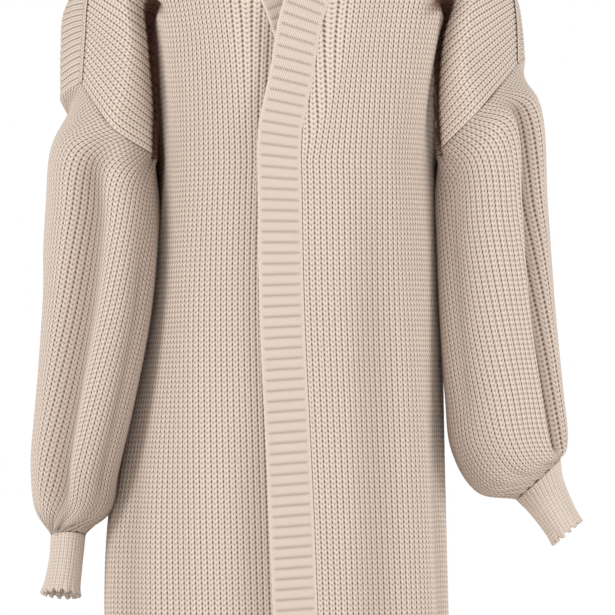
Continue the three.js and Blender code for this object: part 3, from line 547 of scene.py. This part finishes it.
# %% [markdown]
# ## From points to cloth
#
# A grid from Blender's own operator takes its places from the table of points. Its UVs are counted
# in ribs and courses, so one unit is one stitch and the knit follows the cloth. A Solidify modifier
# then gives it the thickness of the knit, inwards.

# %% Cloth
# The height of one row of stitches.
COURSE = 5.05


def knit_uv(points, course=COURSE):
    rows, columns = points.shape[:2]
    steps = np.linalg.norm(np.diff(points, axis=0), axis=-1)
    along = np.concatenate([np.zeros((1, columns)), np.cumsum(steps, 0)]) / course
    across = np.arange(columns)[None, :] / COLUMNS_PER_RIB + np.zeros((rows, 1))
    return np.stack([across, along], -1)


def cloth(name, points, normals, uv, material, painted_shade=None, closed=False, thickness=WALL):
    rows, columns = points.shape[:2]
    mesh = bpy.data.meshes.new(name)
    bm = bmesh.new()
    layer = bm.loops.layers.uv.new("knit")
    # Each point keeps its painted shade as an attribute.
    painted_shade_layer = bm.verts.layers.float.new("painted_shade")
    bmesh.ops.create_grid(bm, x_segments=columns - 1, y_segments=rows - 1, size=1)
    places = {}
    for v in bm.verts:
        j = round((v.co.x + 1) / 2 * (columns - 1))
        i = round((v.co.y + 1) / 2 * (rows - 1))
        places[v] = (i, j)
    for face in bm.faces:
        for loop in face.loops:
            loop[layer].uv = uv[places[loop.vert]]
        face.smooth = True
    for v, (i, j) in places.items():
        v.co = points[i, j] * MM
        v[painted_shade_layer] = 0 if painted_shade is None else painted_shade[i, j]
    bm.normal_update()
    facing = sum(v.normal.dot(normals[i, j]) for v, (i, j) in places.items())
    if facing < 0:
        bmesh.ops.reverse_faces(bm, faces=bm.faces)
    if closed:
        bmesh.ops.remove_doubles(bm, verts=bm.verts, dist=1e-6)
    bm.to_mesh(mesh)
    bm.free()
    obj = bpy.data.objects.new(name, mesh)
    bpy.context.scene.collection.objects.link(obj)
    mesh.materials.append(material)
    wall = obj.modifiers.new("Thickness of the knit", "SOLIDIFY")
    wall.thickness = thickness * MM
    wall.offset = -1
    return obj


def flat_area(points):
    a = points[1:, :-1] - points[:-1, :-1]
    b = points[:-1, 1:] - points[:-1, :-1]
    return np.linalg.norm(np.cross(a, b), axis=-1).sum() * MM * MM


# %% [markdown]
# ## Yarn
#
# One small helper adds a shader node and wires its inputs, so that a formula reads like a formula.

# %% Yarn helpers


def srgb(hex_colour):
    values = [int(hex_colour[i : i + 2], 16) / 255 for i in (1, 3, 5)]
    linear = [v / 12.92 if v <= 0.04045 else ((v + 0.055) / 1.055) ** 2.4 for v in values]
    return (*linear, 1)


def add(tree, kind, inputs=(), **settings):
    node = tree.nodes.new(kind)
    for key, value in settings.items():
        setattr(node, key, value)
    for key, value in dict(inputs).items():
        if isinstance(value, bpy.types.NodeSocket):
            tree.links.new(value, node.inputs[key])
        else:
            node.inputs[key].default_value = value
    return node


def calc(tree, operation, *values):
    return add(tree, "ShaderNodeMath", dict(enumerate(values)), operation=operation).outputs[0]


def smooth(tree, value, low, high):
    inputs = {"Value": value, "From Min": low, "From Max": high}
    return add(tree, "ShaderNodeMapRange", inputs, interpolation_type="SMOOTHSTEP").outputs[0]


def mixed(tree, share, light, shade_colour):
    node = add(tree, "ShaderNodeMix", data_type="RGBA", clamp_factor=True)
    tree.links.new(share, node.inputs[0])
    for place, colour in ((6, light), (7, shade_colour)):
        if isinstance(colour, str):
            node.inputs[place].default_value = srgb(colour)
        else:
            tree.links.new(colour, node.inputs[place])
    return node.outputs[2]


# The painted shade mixes the colour towards this warm dark brown.
PAINTED_SHADE_BROWN = "#5C3019"
MOST_PAINTED_SHADE = 0.92


def with_painted_shade(tree, colour):
    painted_shade = add(tree, "ShaderNodeAttribute", attribute_name="painted_shade").outputs["Fac"]
    return mixed(tree, calc(tree, "MULTIPLY", painted_shade, MOST_PAINTED_SHADE), colour, PAINTED_SHADE_BROWN)


# Wool is matt, and its loose fibres catch a little light at the edges of a form, as a sheen.
def new_material(name, roughness):
    material = bpy.data.materials.new(name)
    material.use_nodes = True
    tree = material.node_tree
    shader = tree.nodes["Principled BSDF"]
    shader.inputs["Roughness"].default_value = roughness
    shader.inputs["Specular IOR Level"].default_value = 0.08
    shader.inputs["Sheen Weight"].default_value = 0.12
    shader.inputs["Sheen Roughness"].default_value = 0.5
    return material, tree, shader


def knit_uv_parts(tree):
    uv = add(tree, "ShaderNodeUVMap", uv_map="knit").outputs["UV"]
    parts = add(tree, "ShaderNodeSeparateXYZ", {0: uv})
    return parts.outputs["X"], parts.outputs["Y"]


# A wave between 0 and 1 that repeats with every whole turn.
def turn_wave(tree, turns):
    wave = calc(tree, "COSINE", calc(tree, "MULTIPLY", turns, 2 * math.pi))
    return calc(tree, "MULTIPLY_ADD", wave, 0.5, 0.5)


def fibre_noise(tree, size_mm, detail=2.0):
    place = add(tree, "ShaderNodeTexCoord").outputs["Object"]
    inputs = {"Vector": place, "Scale": 1 / (size_mm * MM), "Detail": detail}
    return add(tree, "ShaderNodeTexNoise", inputs).outputs["Fac"]


# %% [markdown]
# ## Rib knit
#
# Every rib is a chain of V-shaped stitches. The legs of a V lean outwards and up, so the height is
# a wave along the rib that is shifted with the distance from the rib's middle. Between two ribs
# the light is lost in long holes, and a smaller hole opens in the point of each V; their shade, and
# the shade between the legs of a V, is painted dark into the colour.


# %% Rib knit
# How far the legs of a V and the holes beside them lean, in stitches, how much the painted shade
# of each dark place shows, and how much the fibres' own tone varies at random.
LEG_LEAN = 0.55
HOLE_LEAN = 1.5
GROOVE_SHADE = 0.88
POINT_SHADE = 0.5
LEG_SHADE = 0.24
FIBRE_TONE = 0.4


def rib_knit(name, contrast=1.0, light="#EBDBCD", shade_colour="#6E4C38"):
    material, tree, shader = new_material(name, 0.95)
    u, v = knit_uv_parts(tree)
    from_middle = calc(tree, "SUBTRACT", calc(tree, "FRACT", u), 0.5)
    from_groove = calc(tree, "SUBTRACT", calc(tree, "FRACT", calc(tree, "ADD", u, 0.5)), 0.5)
    side = calc(tree, "MULTIPLY", calc(tree, "ABSOLUTE", from_middle), 2.0)
    wave = turn_wave(tree, calc(tree, "MULTIPLY_ADD", side, -LEG_LEAN, v))
    valley = calc(tree, "SUBTRACT", 1.0, wave)
    slanted = turn_wave(tree, calc(tree, "MULTIPLY_ADD", from_groove, -HOLE_LEAN, v))
    groove = smooth(tree, side, 0.56, 0.98)
    dash = calc(tree, "MULTIPLY_ADD", calc(tree, "POWER", slanted, 0.8), 0.75, 0.25)
    groove_hole = calc(tree, "MULTIPLY", groove, dash)
    middle = smooth(tree, side, 0.36, 0.02)
    middle_hole = calc(tree, "MULTIPLY", middle, calc(tree, "POWER", valley, 1.5))
    between_legs = calc(tree, "MULTIPLY", calc(tree, "POWER", valley, 2.0), LEG_SHADE)
    noise = fibre_noise(tree, 1.1, 3.0)
    shade_and_fibre_tone = calc(tree, "MULTIPLY", middle_hole, POINT_SHADE)
    shade_and_fibre_tone = calc(tree, "MULTIPLY_ADD", groove_hole, GROOVE_SHADE, shade_and_fibre_tone)
    shade_and_fibre_tone = calc(tree, "ADD", shade_and_fibre_tone, between_legs)
    shade_and_fibre_tone = calc(tree, "ADD", shade_and_fibre_tone, -FIBRE_TONE / 2)
    shade_and_fibre_tone = calc(tree, "MULTIPLY_ADD", noise, FIBRE_TONE, shade_and_fibre_tone)
    shade_and_fibre_tone = calc(tree, "MULTIPLY", shade_and_fibre_tone, contrast)
    # Painted shade: the yarn's colour is mixed towards a dark brown in the holes and grooves.
    colour = with_painted_shade(tree, mixed(tree, shade_and_fibre_tone, light, shade_colour))
    tree.links.new(colour, shader.inputs["Base Color"])
    leg = calc(tree, "SINE", calc(tree, "MULTIPLY", side, math.pi))
    leg = calc(tree, "POWER", calc(tree, "MAXIMUM", leg, 0.0), 0.6)
    height = calc(tree, "MULTIPLY", leg, calc(tree, "MULTIPLY_ADD", wave, 0.5, 0.5))
    height = calc(tree, "SUBTRACT", height, calc(tree, "MULTIPLY", middle_hole, 0.4))
    height = calc(tree, "SUBTRACT", height, calc(tree, "MULTIPLY", groove_hole, 0.5))
    height = calc(tree, "MULTIPLY_ADD", noise, 0.14, height)
    bump = add(tree, "ShaderNodeBump", {"Height": height, "Strength": 0.75, "Distance": 0.9 * MM})
    tree.links.new(bump.outputs["Normal"], shader.inputs["Normal"])
    return material


body_knit = rib_knit("Chunky rib knit, oatmeal wool blend")
cuff_knit = rib_knit("Fine rib knit of the cuffs", contrast=0.36)


# %% [markdown]
# ## Band knit
#
# The front band is knitted sideways and firmer, so its ribs run across it. Their stitches are so
# small that they read as fine slanting lines.


# %% Band knit
# The pattern's slant per millimetre across the band, how much the painted shade of each dark place
# shows, and how much the fibres' own tone varies at random.
TWILL_TURNS = 0.4
TWILL_BEND = 3.2
CROSS_SHADE = 0.34
TWILL_SHADE = 0.42
DOT_SHADE = 0.4
BAND_FIBRES = 0.36


def band_material():
    material, tree, shader = new_material("Firm cross-ribbed knit of the band", 0.95)
    u, v = knit_uv_parts(tree)
    ridge = calc(tree, "ABSOLUTE", calc(tree, "SINE", calc(tree, "MULTIPLY", v, math.pi)))
    groove = calc(tree, "SUBTRACT", 1.0, smooth(tree, ridge, 0.0, 0.75))
    inside = calc(tree, "MULTIPLY", smooth(tree, u, 2.5, 5.0), smooth(tree, u, 41.5, 39.0))
    groove = calc(tree, "MULTIPLY", groove, inside)
    half = calc(tree, "ABSOLUTE", calc(tree, "SUBTRACT", calc(tree, "FRACT", v), 0.5))
    twill = calc(tree, "MULTIPLY_ADD", half, TWILL_BEND, calc(tree, "MULTIPLY", u, TWILL_TURNS))
    twill = turn_wave(tree, twill)
    twill = calc(tree, "MULTIPLY", calc(tree, "POWER", twill, 1.6), inside)
    edge = calc(tree, "MULTIPLY", smooth(tree, u, 1.2, 2.4), smooth(tree, u, 42.8, 41.6))
    edge = calc(tree, "SUBTRACT", edge, inside)
    dots = calc(tree, "MULTIPLY", edge, turn_wave(tree, calc(tree, "MULTIPLY", v, 4.0)))
    noise = fibre_noise(tree, 1.1, 3.0)
    # The grooves between the cross ribs, the slanting lines and the small holes by the edges are painted
    # shade.
    shade_and_fibre_tone = calc(tree, "MULTIPLY_ADD", groove, CROSS_SHADE, calc(tree, "MULTIPLY", twill, TWILL_SHADE))
    shade_and_fibre_tone = calc(tree, "MULTIPLY_ADD", dots, DOT_SHADE, shade_and_fibre_tone)
    shade_and_fibre_tone = calc(tree, "ADD", shade_and_fibre_tone, -BAND_FIBRES / 2)
    shade_and_fibre_tone = calc(tree, "MULTIPLY_ADD", noise, BAND_FIBRES, shade_and_fibre_tone)
    tree.links.new(mixed(tree, shade_and_fibre_tone, "#E8D9CC", "#84675A"), shader.inputs["Base Color"])
    height = calc(tree, "MULTIPLY_ADD", twill, -0.5, calc(tree, "MULTIPLY", noise, 0.15))
    bump = add(tree, "ShaderNodeBump", {"Height": height, "Strength": 0.7, "Distance": 0.7 * MM})
    tree.links.new(bump.outputs["Normal"], shader.inputs["Normal"])
    return material


band_knit = band_material()

# %% [markdown]
# ## Fronts and back
#
# The deep crease beside each armpit is in the form already. These smaller ones are what the hand
# would smooth away: two soft troughs and a ridge on each front, and a few of the same kind on the
# back. The back hangs free, and each front rests on the band.

# %% Fronts and back
PANEL_CREASES = {
    "front_left": [
        dict(rib=41, drift=0, width=6, depth=5, start=0.5, end=1.25),
        dict(rib=20, drift=-2, width=6, depth=6, start=0.45, end=1.25),
        dict(rib=30, drift=3, width=5, depth=-2.5, start=0.35, end=0.9),
    ],
    "front_right": [
        dict(rib=33, drift=2, width=6, depth=5, start=0.3, end=1.2),
        dict(rib=17, drift=0, width=6, depth=6, start=0.45, end=1.25),
        dict(rib=26, drift=-2, width=5, depth=-2.5, start=0.4, end=0.95),
    ],
    "back": [
        dict(rib=30, drift=3, width=8, depth=4, start=0.25, end=0.8),
        dict(rib=61, drift=-4, width=8, depth=4, start=0.3, end=0.85),
        dict(rib=45, drift=2, width=7, depth=-3, start=0.35, end=0.75),
    ],
}
CENTRE = np.array([0, -5, -500.0])

# The sleeves lie over the body's sides and keep the light off them, most of all by the armpit, so
# their shadow is painted into the colour. At each height z the painted shadow begins at x from the
# middle, and it fades out upwards and downwards.
SHADE_EDGE = {
    "front_left": dict(strength=1.0, x=[190, 136, 126, 122, 126, 131]),
    "front_right": dict(strength=0.7, x=[190, 154, 147, 144, 144, 152]),
}
SHADE_HEIGHTS = [-700, -420, -330, -270, -200, -110]
SHADE_TOP = -60
SHADE_END = -660
SHADE_FADE = 60
SHADE_SOFT = 3.5


def painted_shadow_under_sleeve(points, name):
    edge = SHADE_EDGE[name]
    z = points[..., 2]
    begins = np.interp(z, SHADE_HEIGHTS, edge["x"])
    near = ease((np.abs(points[..., 0]) - begins) / SHADE_SOFT)
    low_part = (np.arange(len(points)) <= LOW_ROW)[:, None]
    fade = ease((SHADE_TOP - z) / SHADE_FADE) * ease((z - SHADE_END) / SHADE_FADE)
    return edge["strength"] * near * low_part * fade


smooth_panels = {}
for name, points in panels.items():
    normals = outward(points, False, CENTRE)
    points, painted_shade = crease(points, normals, PANEL_CREASES[name], 0, False)
    if name != "back":
        points, armpit_shade = tuck(points, normals)
        # Painted shade: the armpit's tuck and the body's sides under the sleeves are darkened in colour.
        painted_shade = np.maximum(painted_shade, np.maximum(ease(1.8 * armpit_shade), painted_shadow_under_sleeve(points, name)))
    normals = outward(points, False, CENTRE)
    smooth_panels[name] = (points, normals)
    ribbed = points - normals * rib_relief(points.shape[1])[None, :, None]
    piece = cloth(name + "_cloth", ribbed, normals, knit_uv(points), body_knit, painted_shade)
    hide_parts(name)
    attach(piece, "root")
    print(name, "area", round(flat_area(points), 3), "square metres")


# %% [markdown]
# ## Sleeves
#
# A drop-shoulder sleeve is a wide tube that hangs from the armhole and is gathered into a narrow
# cuff. Its first ring is the armhole itself, so both edges of the seam follow one line.


# %% Sleeves
def ring_points(row, count, power, twist=0):
    outer = np.array([row["outerX"], 0.0, row["outerZ"]])
    inner = np.array([row["innerX"], 0.0, row["innerZ"]])
    middle = (outer + inner) / 2
    half = np.linalg.norm(inner - middle)
    across = (inner - middle) / half
    centre_y = (row["front"] + row["back"]) / 2
    depth = (row["back"] - row["front"]) / 2
    ahead = round_outline(lambda out, c: (half * c, -depth * out), power)
    behind = round_outline(lambda out, c: (-half * c, depth * out), power)
    whole = ahead[1][-1] + behind[1][-1]
    ring = []
    for j in range(count + 1):
        walked = (whole * (j % count) / count + twist) % whole
        if walked < ahead[1][-1]:
            x, y = at_distance(*ahead, walked)
        else:
            x, y = at_distance(*behind, walked - ahead[1][-1])
        place = middle + across * x
        place[1] = centre_y + y - row["shear"] * x / half
        place[2] -= row["tilt"] * y / depth
        ring.append(place)
    return np.array(ring)


def resample(line, count):
    walked = np.concatenate([[0], np.cumsum(np.linalg.norm(np.diff(line, axis=0), axis=1))])
    at = np.linspace(0, walked[-1], count + 1)
    return np.stack([np.interp(at, walked, line[:, k]) for k in range(3)], 1)


# The knit turns round the arm on its way down, so that the ribs lean outwards at the front.
SLEEVE_TWIST = 38
TWIST_SHARES = [0.12, 0.3, 0.55, 0.8, 0.95, 1, 1]
# The armhole begins four steps up the body's rows, and the seam keeps its two edges apart.
UNDERARM = sum(BODY_ROWS[:4])
ARMHOLE_GAP = 0.4


def armhole_ring(side, per_rib):
    front = smooth_panels["front_" + side][0][UNDERARM:, 0]
    back = smooth_panels["back"][0][UNDERARM:, 0 if side == "left" else -1]
    ahead = resample(front, SLEEVE_FRONT_RIBS * per_rib)
    behind = resample(back[::-1], SLEEVE_BACK_RIBS * per_rib)
    ring = np.concatenate([ahead, behind[1:]])
    middle = ring.mean(0)
    way_out = np.cross(ring - middle, np.roll(ring, -1, 0) - middle).sum(0)
    way_out /= np.linalg.norm(way_out)
    if way_out[2] > 0:
        way_out = -way_out
    return ring + way_out * ARMHOLE_GAP


SLEEVE_ROWS = [10, 8, 10, 10, 9, 8, 8]
SLEEVE_CREASES = {
    "left": [
        dict(rib=22, drift=-11, width=5.5, depth=16, start=0.0, end=1.0),
        dict(rib=15, drift=-9, width=5, depth=-5, start=0.05, end=0.95),
        dict(rib=7, drift=-5, width=4.5, depth=7, start=0.2, end=0.95),
        dict(rib=32, drift=-6, width=4, depth=5, start=0.35, end=1.0),
        dict(rib=44, drift=-3, width=8, depth=9, start=0.1, end=0.95),
        dict(rib=57, drift=-8, width=7, depth=8, start=0.15, end=0.9),
    ],
    "right": [
        dict(rib=26.6, drift=-6, width=4, depth=22, start=0.01, end=0.995),
        dict(rib=10, drift=-7, width=6, depth=9, start=0.02, end=0.75),
        dict(rib=18, drift=-7, width=5, depth=-5, start=0.08, end=0.9),
        dict(rib=50, drift=-2, width=8, depth=9, start=0.1, end=0.95),
        dict(rib=62, drift=-8, width=6, depth=6, start=0.2, end=0.9),
    ],
}


# Where the sleeve is gathered into the cuff it breaks into small uneven pleats.
GATHER_PLEATS = 13
GATHER_DEPTH = 3.2
GATHER_START = 0.80
GATHER_GROWS = 0.14


def gather(points, normals, ribs):
    rows, columns = points.shape[:2]
    down = 1 - np.arange(rows)[:, None] / (rows - 1)
    turn = np.arange(columns)[None, :] / (columns - 1) * 2 * np.pi
    uneven = GATHER_PLEATS * turn + 0.9 * np.sin(3 * turn) + 0.6 * np.sin(5 * turn + 1)
    pleat = (0.5 - 0.5 * np.cos(uneven)) ** 1.5
    start = GATHER_START + 0.05 * np.sin(4 * turn + 2)
    strength = ease((down - start) / GATHER_GROWS) * (1 - 0.55 * ease((down - 0.965) / 0.035))
    return points - normals * (GATHER_DEPTH * strength * pleat)[..., None]


# Beside the cuff the ribs are pressed together and stand out less.
CROWDED = 0.6
CROWDED_ROWS = 14

# The inner side of each sleeve faces the body and gets less light, so a painted shade darkens it
# towards the body.
INNER_PAINTED_SHADE = {"left": dict(strength=0.42, width=52), "right": dict(strength=0.34, width=75)}


def painted_shade_beside_body(points, side):
    rings = SLEEVE_RINGS[side][:-2]
    heights = [-row["innerZ"] for row in rings]
    inner = np.interp(-points[..., 2], heights, [abs(row["innerX"]) for row in rings])
    clear = np.abs(points[..., 0]) - inner
    return INNER_PAINTED_SHADE[side]["strength"] * (1 - ease(clear / INNER_PAINTED_SHADE[side]["width"]))


for side in ("left", "right"):
    ribs = SLEEVE_FRONT_RIBS + SLEEVE_BACK_RIBS
    count = ribs * COLUMNS_PER_RIB
    rings = [armhole_ring(side, COLUMNS_PER_RIB)]
    for row, share in zip(SLEEVE_RINGS[side], TWIST_SHARES):
        rings.append(ring_points(row, count, SLEEVE_POWER, SLEEVE_TWIST * share))
    rings[0][-1] = rings[0][0]
    points = refine(rings, SLEEVE_ROWS)[::-1]
    centre = points.mean((0, 1))
    normals = outward(points, True, centre)
    points, painted_shade = crease(points, normals, SLEEVE_CREASES[side], ribs, True)
    painted_shade = np.maximum(painted_shade, painted_shade_beside_body(points, side))
    points = gather(points, normals, ribs)
    normals = outward(points, True, centre)
    crowded = 1 - CROWDED * ease(1 - np.arange(len(points)) / CROWDED_ROWS)[:, None]
    relief = rib_relief(points.shape[1])[None, :] * crowded
    ribbed = points - normals * relief[..., None]
    ribbed[:, -1] = ribbed[:, 0]
    piece = cloth("sleeve_" + side + "_cloth", ribbed, normals, knit_uv(points), body_knit, painted_shade, True)
    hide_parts("sleeve_" + side)
    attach(piece, "root")
    print("sleeve", side, "area", round(flat_area(points), 3))

# %% [markdown]
# ## Shoulder seams
#
# The seam on top of each shoulder is linked from the outside, and leaves a narrow raised braid
# that runs down to the armhole.

# %% Shoulder seams
BRAID_WIDTH = 7.5
BRAID_COLUMNS = 9
BRAID_RISE = 1.4
BRAID_ROUND = 3
BRAID_CLEAR = 0.5
BRAID_WALL = 0.8
BRAID_STITCH = 3.6

for side in ("left", "right"):
    count = NECK_RIB * COLUMNS_PER_RIB + 1
    front, front_normals = smooth_panels["front_" + side]
    back_normals = smooth_panels["back"][1][-1]
    if side == "right":
        back_normals = back_normals[::-1]
    line = front[-1, :count]
    out = front_normals[-1, :count] + back_normals[:count]
    out /= np.linalg.norm(out, axis=-1, keepdims=True)
    along = np.gradient(line, axis=0)
    across = np.cross(along, out)
    across /= np.linalg.norm(across, axis=-1, keepdims=True)
    share = np.linspace(-0.5, 0.5, BRAID_COLUMNS)[None, :, None]
    rise = BRAID_RISE * np.cos(np.pi * share) - BRAID_ROUND * share**2 + BRAID_CLEAR
    points = line[:, None] + across[:, None] * BRAID_WIDTH * share + out[:, None] * rise
    normals = np.repeat(out[:, None], points.shape[1], 1)
    walked = np.concatenate([[0], np.cumsum(np.linalg.norm(np.diff(line, axis=0), axis=1))])
    two_ribs = 2 * share[..., 0] + 1
    uv = np.stack(np.broadcast_arrays(two_ribs, walked[:, None] / BRAID_STITCH), -1)
    braid = cloth("shoulder_seam_" + side, points, normals, uv, body_knit, thickness=BRAID_WALL)
    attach(braid, "root")
    print("shoulder seam", side, round(walked[-1]), "mm long")

# %% [markdown]
# ## Cuffs
#
# The cuff is a narrow tube of finer rib, and its cast-off edge is tight, so it curls into small
# scallops.

# %% Cuffs
CUFF_SCALLOPS = 15
CUFF_ROWS = [10, 12]
CUFF_COURSE = 3.4
CUFF_RELIEF = 0.7
CUFF_SEAM_GAP = 0.1
CURL_ROWS = 4
CURL_DOWN = 1.6
CURL_OUT = 1.2
CURL_WAVE = 0.9


def ring_axis(ring):
    quarter = (len(ring) - 1) // 4
    axis = np.cross(ring[0] - ring[2 * quarter], ring[quarter] - ring[3 * quarter])
    axis /= np.linalg.norm(axis)
    return -axis if axis[2] > 0 else axis


for side in ("left", "right"):
    count = CUFF_RIBS * COLUMNS_PER_RIB
    rows = [SLEEVE_RINGS[side][-1], *CUFF_RINGS[side]]
    rings = [ring_points(row, count, CUFF_POWER) for row in rows]
    rings[0] = rings[0] + ring_axis(rings[0]) * CUFF_SEAM_GAP
    points = refine(rings, CUFF_ROWS)[::-1]
    centre = points.mean((0, 1))
    normals = outward(points, True, centre)
    end = ring_axis(rings[-1])
    turn = np.arange(count + 1) / count * 2 * math.pi
    near_end = np.clip(1 - np.arange(len(points)) / CURL_ROWS, 0, 1)[:, None] ** 1.5
    down = CURL_DOWN * np.cos(CUFF_SCALLOPS * turn)
    out = CURL_OUT + CURL_WAVE * np.sin(CUFF_SCALLOPS * turn + 1)
    points = points + end * (near_end * down)[..., None]
    points = points + normals * (near_end * out)[..., None]
    relief = rib_relief(points.shape[1])[None, :] * CUFF_RELIEF
    ribbed = points - normals * relief[..., None]
    ribbed[:, -1] = ribbed[:, 0]
    uv = knit_uv(points, CUFF_COURSE)
    piece = cloth("cuff_" + side + "_cloth", ribbed, normals, uv, cuff_knit, None, True)
    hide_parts("cuff_" + side)
    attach(piece, "root")
    print("cuff", side, "area", round(flat_area(points), 4))


# %% [markdown]
# ## The band
#
# One long strip runs up one front, round the back of the neck and down the other. It is sewn on
# along its edge, so its first column of points is the edge of the panels, and the others step
# away from it.


# %% Band
CROSS_RIB = 10.4
BAND_ROW = CROSS_RIB / 6
BAND_COLUMNS = 10
BAND_WIDTH = 44
BAND_SELVEDGE = 0.09
CROSS_RIB_DEPTH = 1.4
SELVEDGE_DEPTH = 0.5
BAND_RAISED = 0.5


def front_edge(side):
    points = smooth_panels["front_" + side][0]
    edge = points[:, -1]
    neck = points[-1, NECK_RIB * COLUMNS_PER_RIB :][::-1]
    line = np.concatenate([edge, neck[1:]])
    walked = np.concatenate([[0], np.cumsum(np.linalg.norm(np.diff(line, axis=0), axis=1))])
    steps = np.array([read_point(BAND_STEPS[side], "up", up) for up in walked])
    return line, steps


def band_path():
    right, right_steps = front_edge("right")
    left, left_steps = front_edge("left")
    back = smooth_panels["back"][0][-1]
    neck = back[NECK_RIB * COLUMNS_PER_RIB : (BACK_RIBS - NECK_RIB) * COLUMNS_PER_RIB + 1][::-1]
    t = (np.arange(len(neck)) / (len(neck) - 1))[:, None]
    turn = right_steps[-1] * (1 - t) + left_steps[-1] * t
    lift = np.sin(np.pi * t)
    neck_steps = turn * (1 - lift) + np.array(BACK_NECK_STEP) * lift
    line = np.concatenate([right, neck[1:-1], left[::-1]])
    steps = np.concatenate([right_steps, neck_steps[1:-1], left_steps[::-1]])
    return line, steps


line, steps = band_path()
walked = np.concatenate([[0], np.cumsum(np.linalg.norm(np.diff(line, axis=0), axis=1))])
rows = round(walked[-1] / BAND_ROW)
at = np.linspace(0, walked[-1], rows + 1)
seam = np.stack([np.interp(at, walked, line[:, k]) for k in range(3)], 1)
step = np.stack([np.interp(at, walked, steps[:, k]) for k in range(3)], 1)
share = np.linspace(0, 1, BAND_COLUMNS + 1)
points = seam[:, None] + step[:, None] * share[None, :, None]
normals = grid_normals(points, False)
if normals[rows // 8].mean(0)[1] > 0:
    normals = -normals
strip = ease(share / BAND_SELVEDGE) * ease((1 - share) / BAND_SELVEDGE)
ridge = np.abs(np.sin(np.pi * at / CROSS_RIB)) ** 0.8
relief = CROSS_RIB_DEPTH * (1 - ridge)[:, None] * strip[None, :]
relief = relief + SELVEDGE_DEPTH * (1 - strip)[None, :] - BAND_RAISED
ribbed = points - normals * relief[..., None]
uv = np.stack(np.broadcast_arrays(share[None, :] * BAND_WIDTH, at[:, None] / CROSS_RIB), -1)
band = cloth("front_band_cloth", ribbed, normals, uv, band_knit)
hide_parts("front_band")
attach(band, "root")
print("band", round(walked[-1]), "mm long, area", round(flat_area(points), 3))

# %% [markdown]
# ## Studio
#
# The picture is a catalogue photograph on white: a far camera with a long lens, so that the
# garment's width hardly changes with depth, and big soft lights from the front.

# %% Studio
FLOOR_Z = -1.3
floor_mesh = bpy.data.meshes.new("floor")
bm = bmesh.new()
bmesh.ops.create_grid(bm, x_segments=1, y_segments=1, size=4)
bmesh.ops.translate(bm, verts=bm.verts, vec=(0, 0, FLOOR_Z))
bm.to_mesh(floor_mesh)
bm.free()
floor = bpy.data.objects.new("floor", floor_mesh)
bpy.context.scene.collection.objects.link(floor)
floor_material, floor_tree, floor_shader = new_material("White studio floor", 0.9)
floor_shader.inputs["Base Color"].default_value = srgb("#F4F3F1")
floor_mesh.materials.append(floor_material)

world = bpy.data.worlds.new("White studio")
bpy.context.scene.world = world
world.use_nodes = True
# The backdrop is blown out to white for the camera, and lights the cloth less.
ROOM_LIGHT = 0.62
sky = world.node_tree
seen = add(sky, "ShaderNodeLightPath").outputs["Is Camera Ray"]
strength = calc(sky, "MULTIPLY_ADD", seen, 1.0 - ROOM_LIGHT, ROOM_LIGHT)
sky.nodes["Background"].inputs["Color"].default_value = (1, 1, 1, 1)
sky.links.new(strength, sky.nodes["Background"].inputs["Strength"])


def soft_light(name, place, aim, size, power):
    data = bpy.data.lights.new(name, "AREA")
    data.size = size
    data.energy = power
    light = bpy.data.objects.new(name, data)
    bpy.context.scene.collection.objects.link(light)
    light.location = place
    direction = np.array(aim) - np.array(place)
    light.rotation_euler = Vector(direction).to_track_quat("-Z", "Y").to_euler()
    return light


soft_light("Key softbox", (-2.1, -1.8, 0.5), (0, 0, -0.45), 1.0, 34)
soft_light("Fill softbox", (2.3, -1.6, 0.1), (0, 0, -0.45), 1.2, 28)

CAMERA_AWAY = 12.0
PICTURE = 0.615
camera_data = bpy.data.cameras.new("Long lens")
camera_data.sensor_width = 36
camera_data.lens = 18 / (PICTURE / 2 / CAMERA_AWAY)
camera_data.clip_end = 100
camera = bpy.data.objects.new("Long lens", camera_data)
bpy.context.scene.collection.objects.link(camera)
camera.location = (0.0195, -0.06 - CAMERA_AWAY, -0.4175)
camera.rotation_euler = (math.pi / 2, 0, 0)
bpy.context.scene.camera = camera
bpy.context.scene.view_settings.view_transform = "Standard"
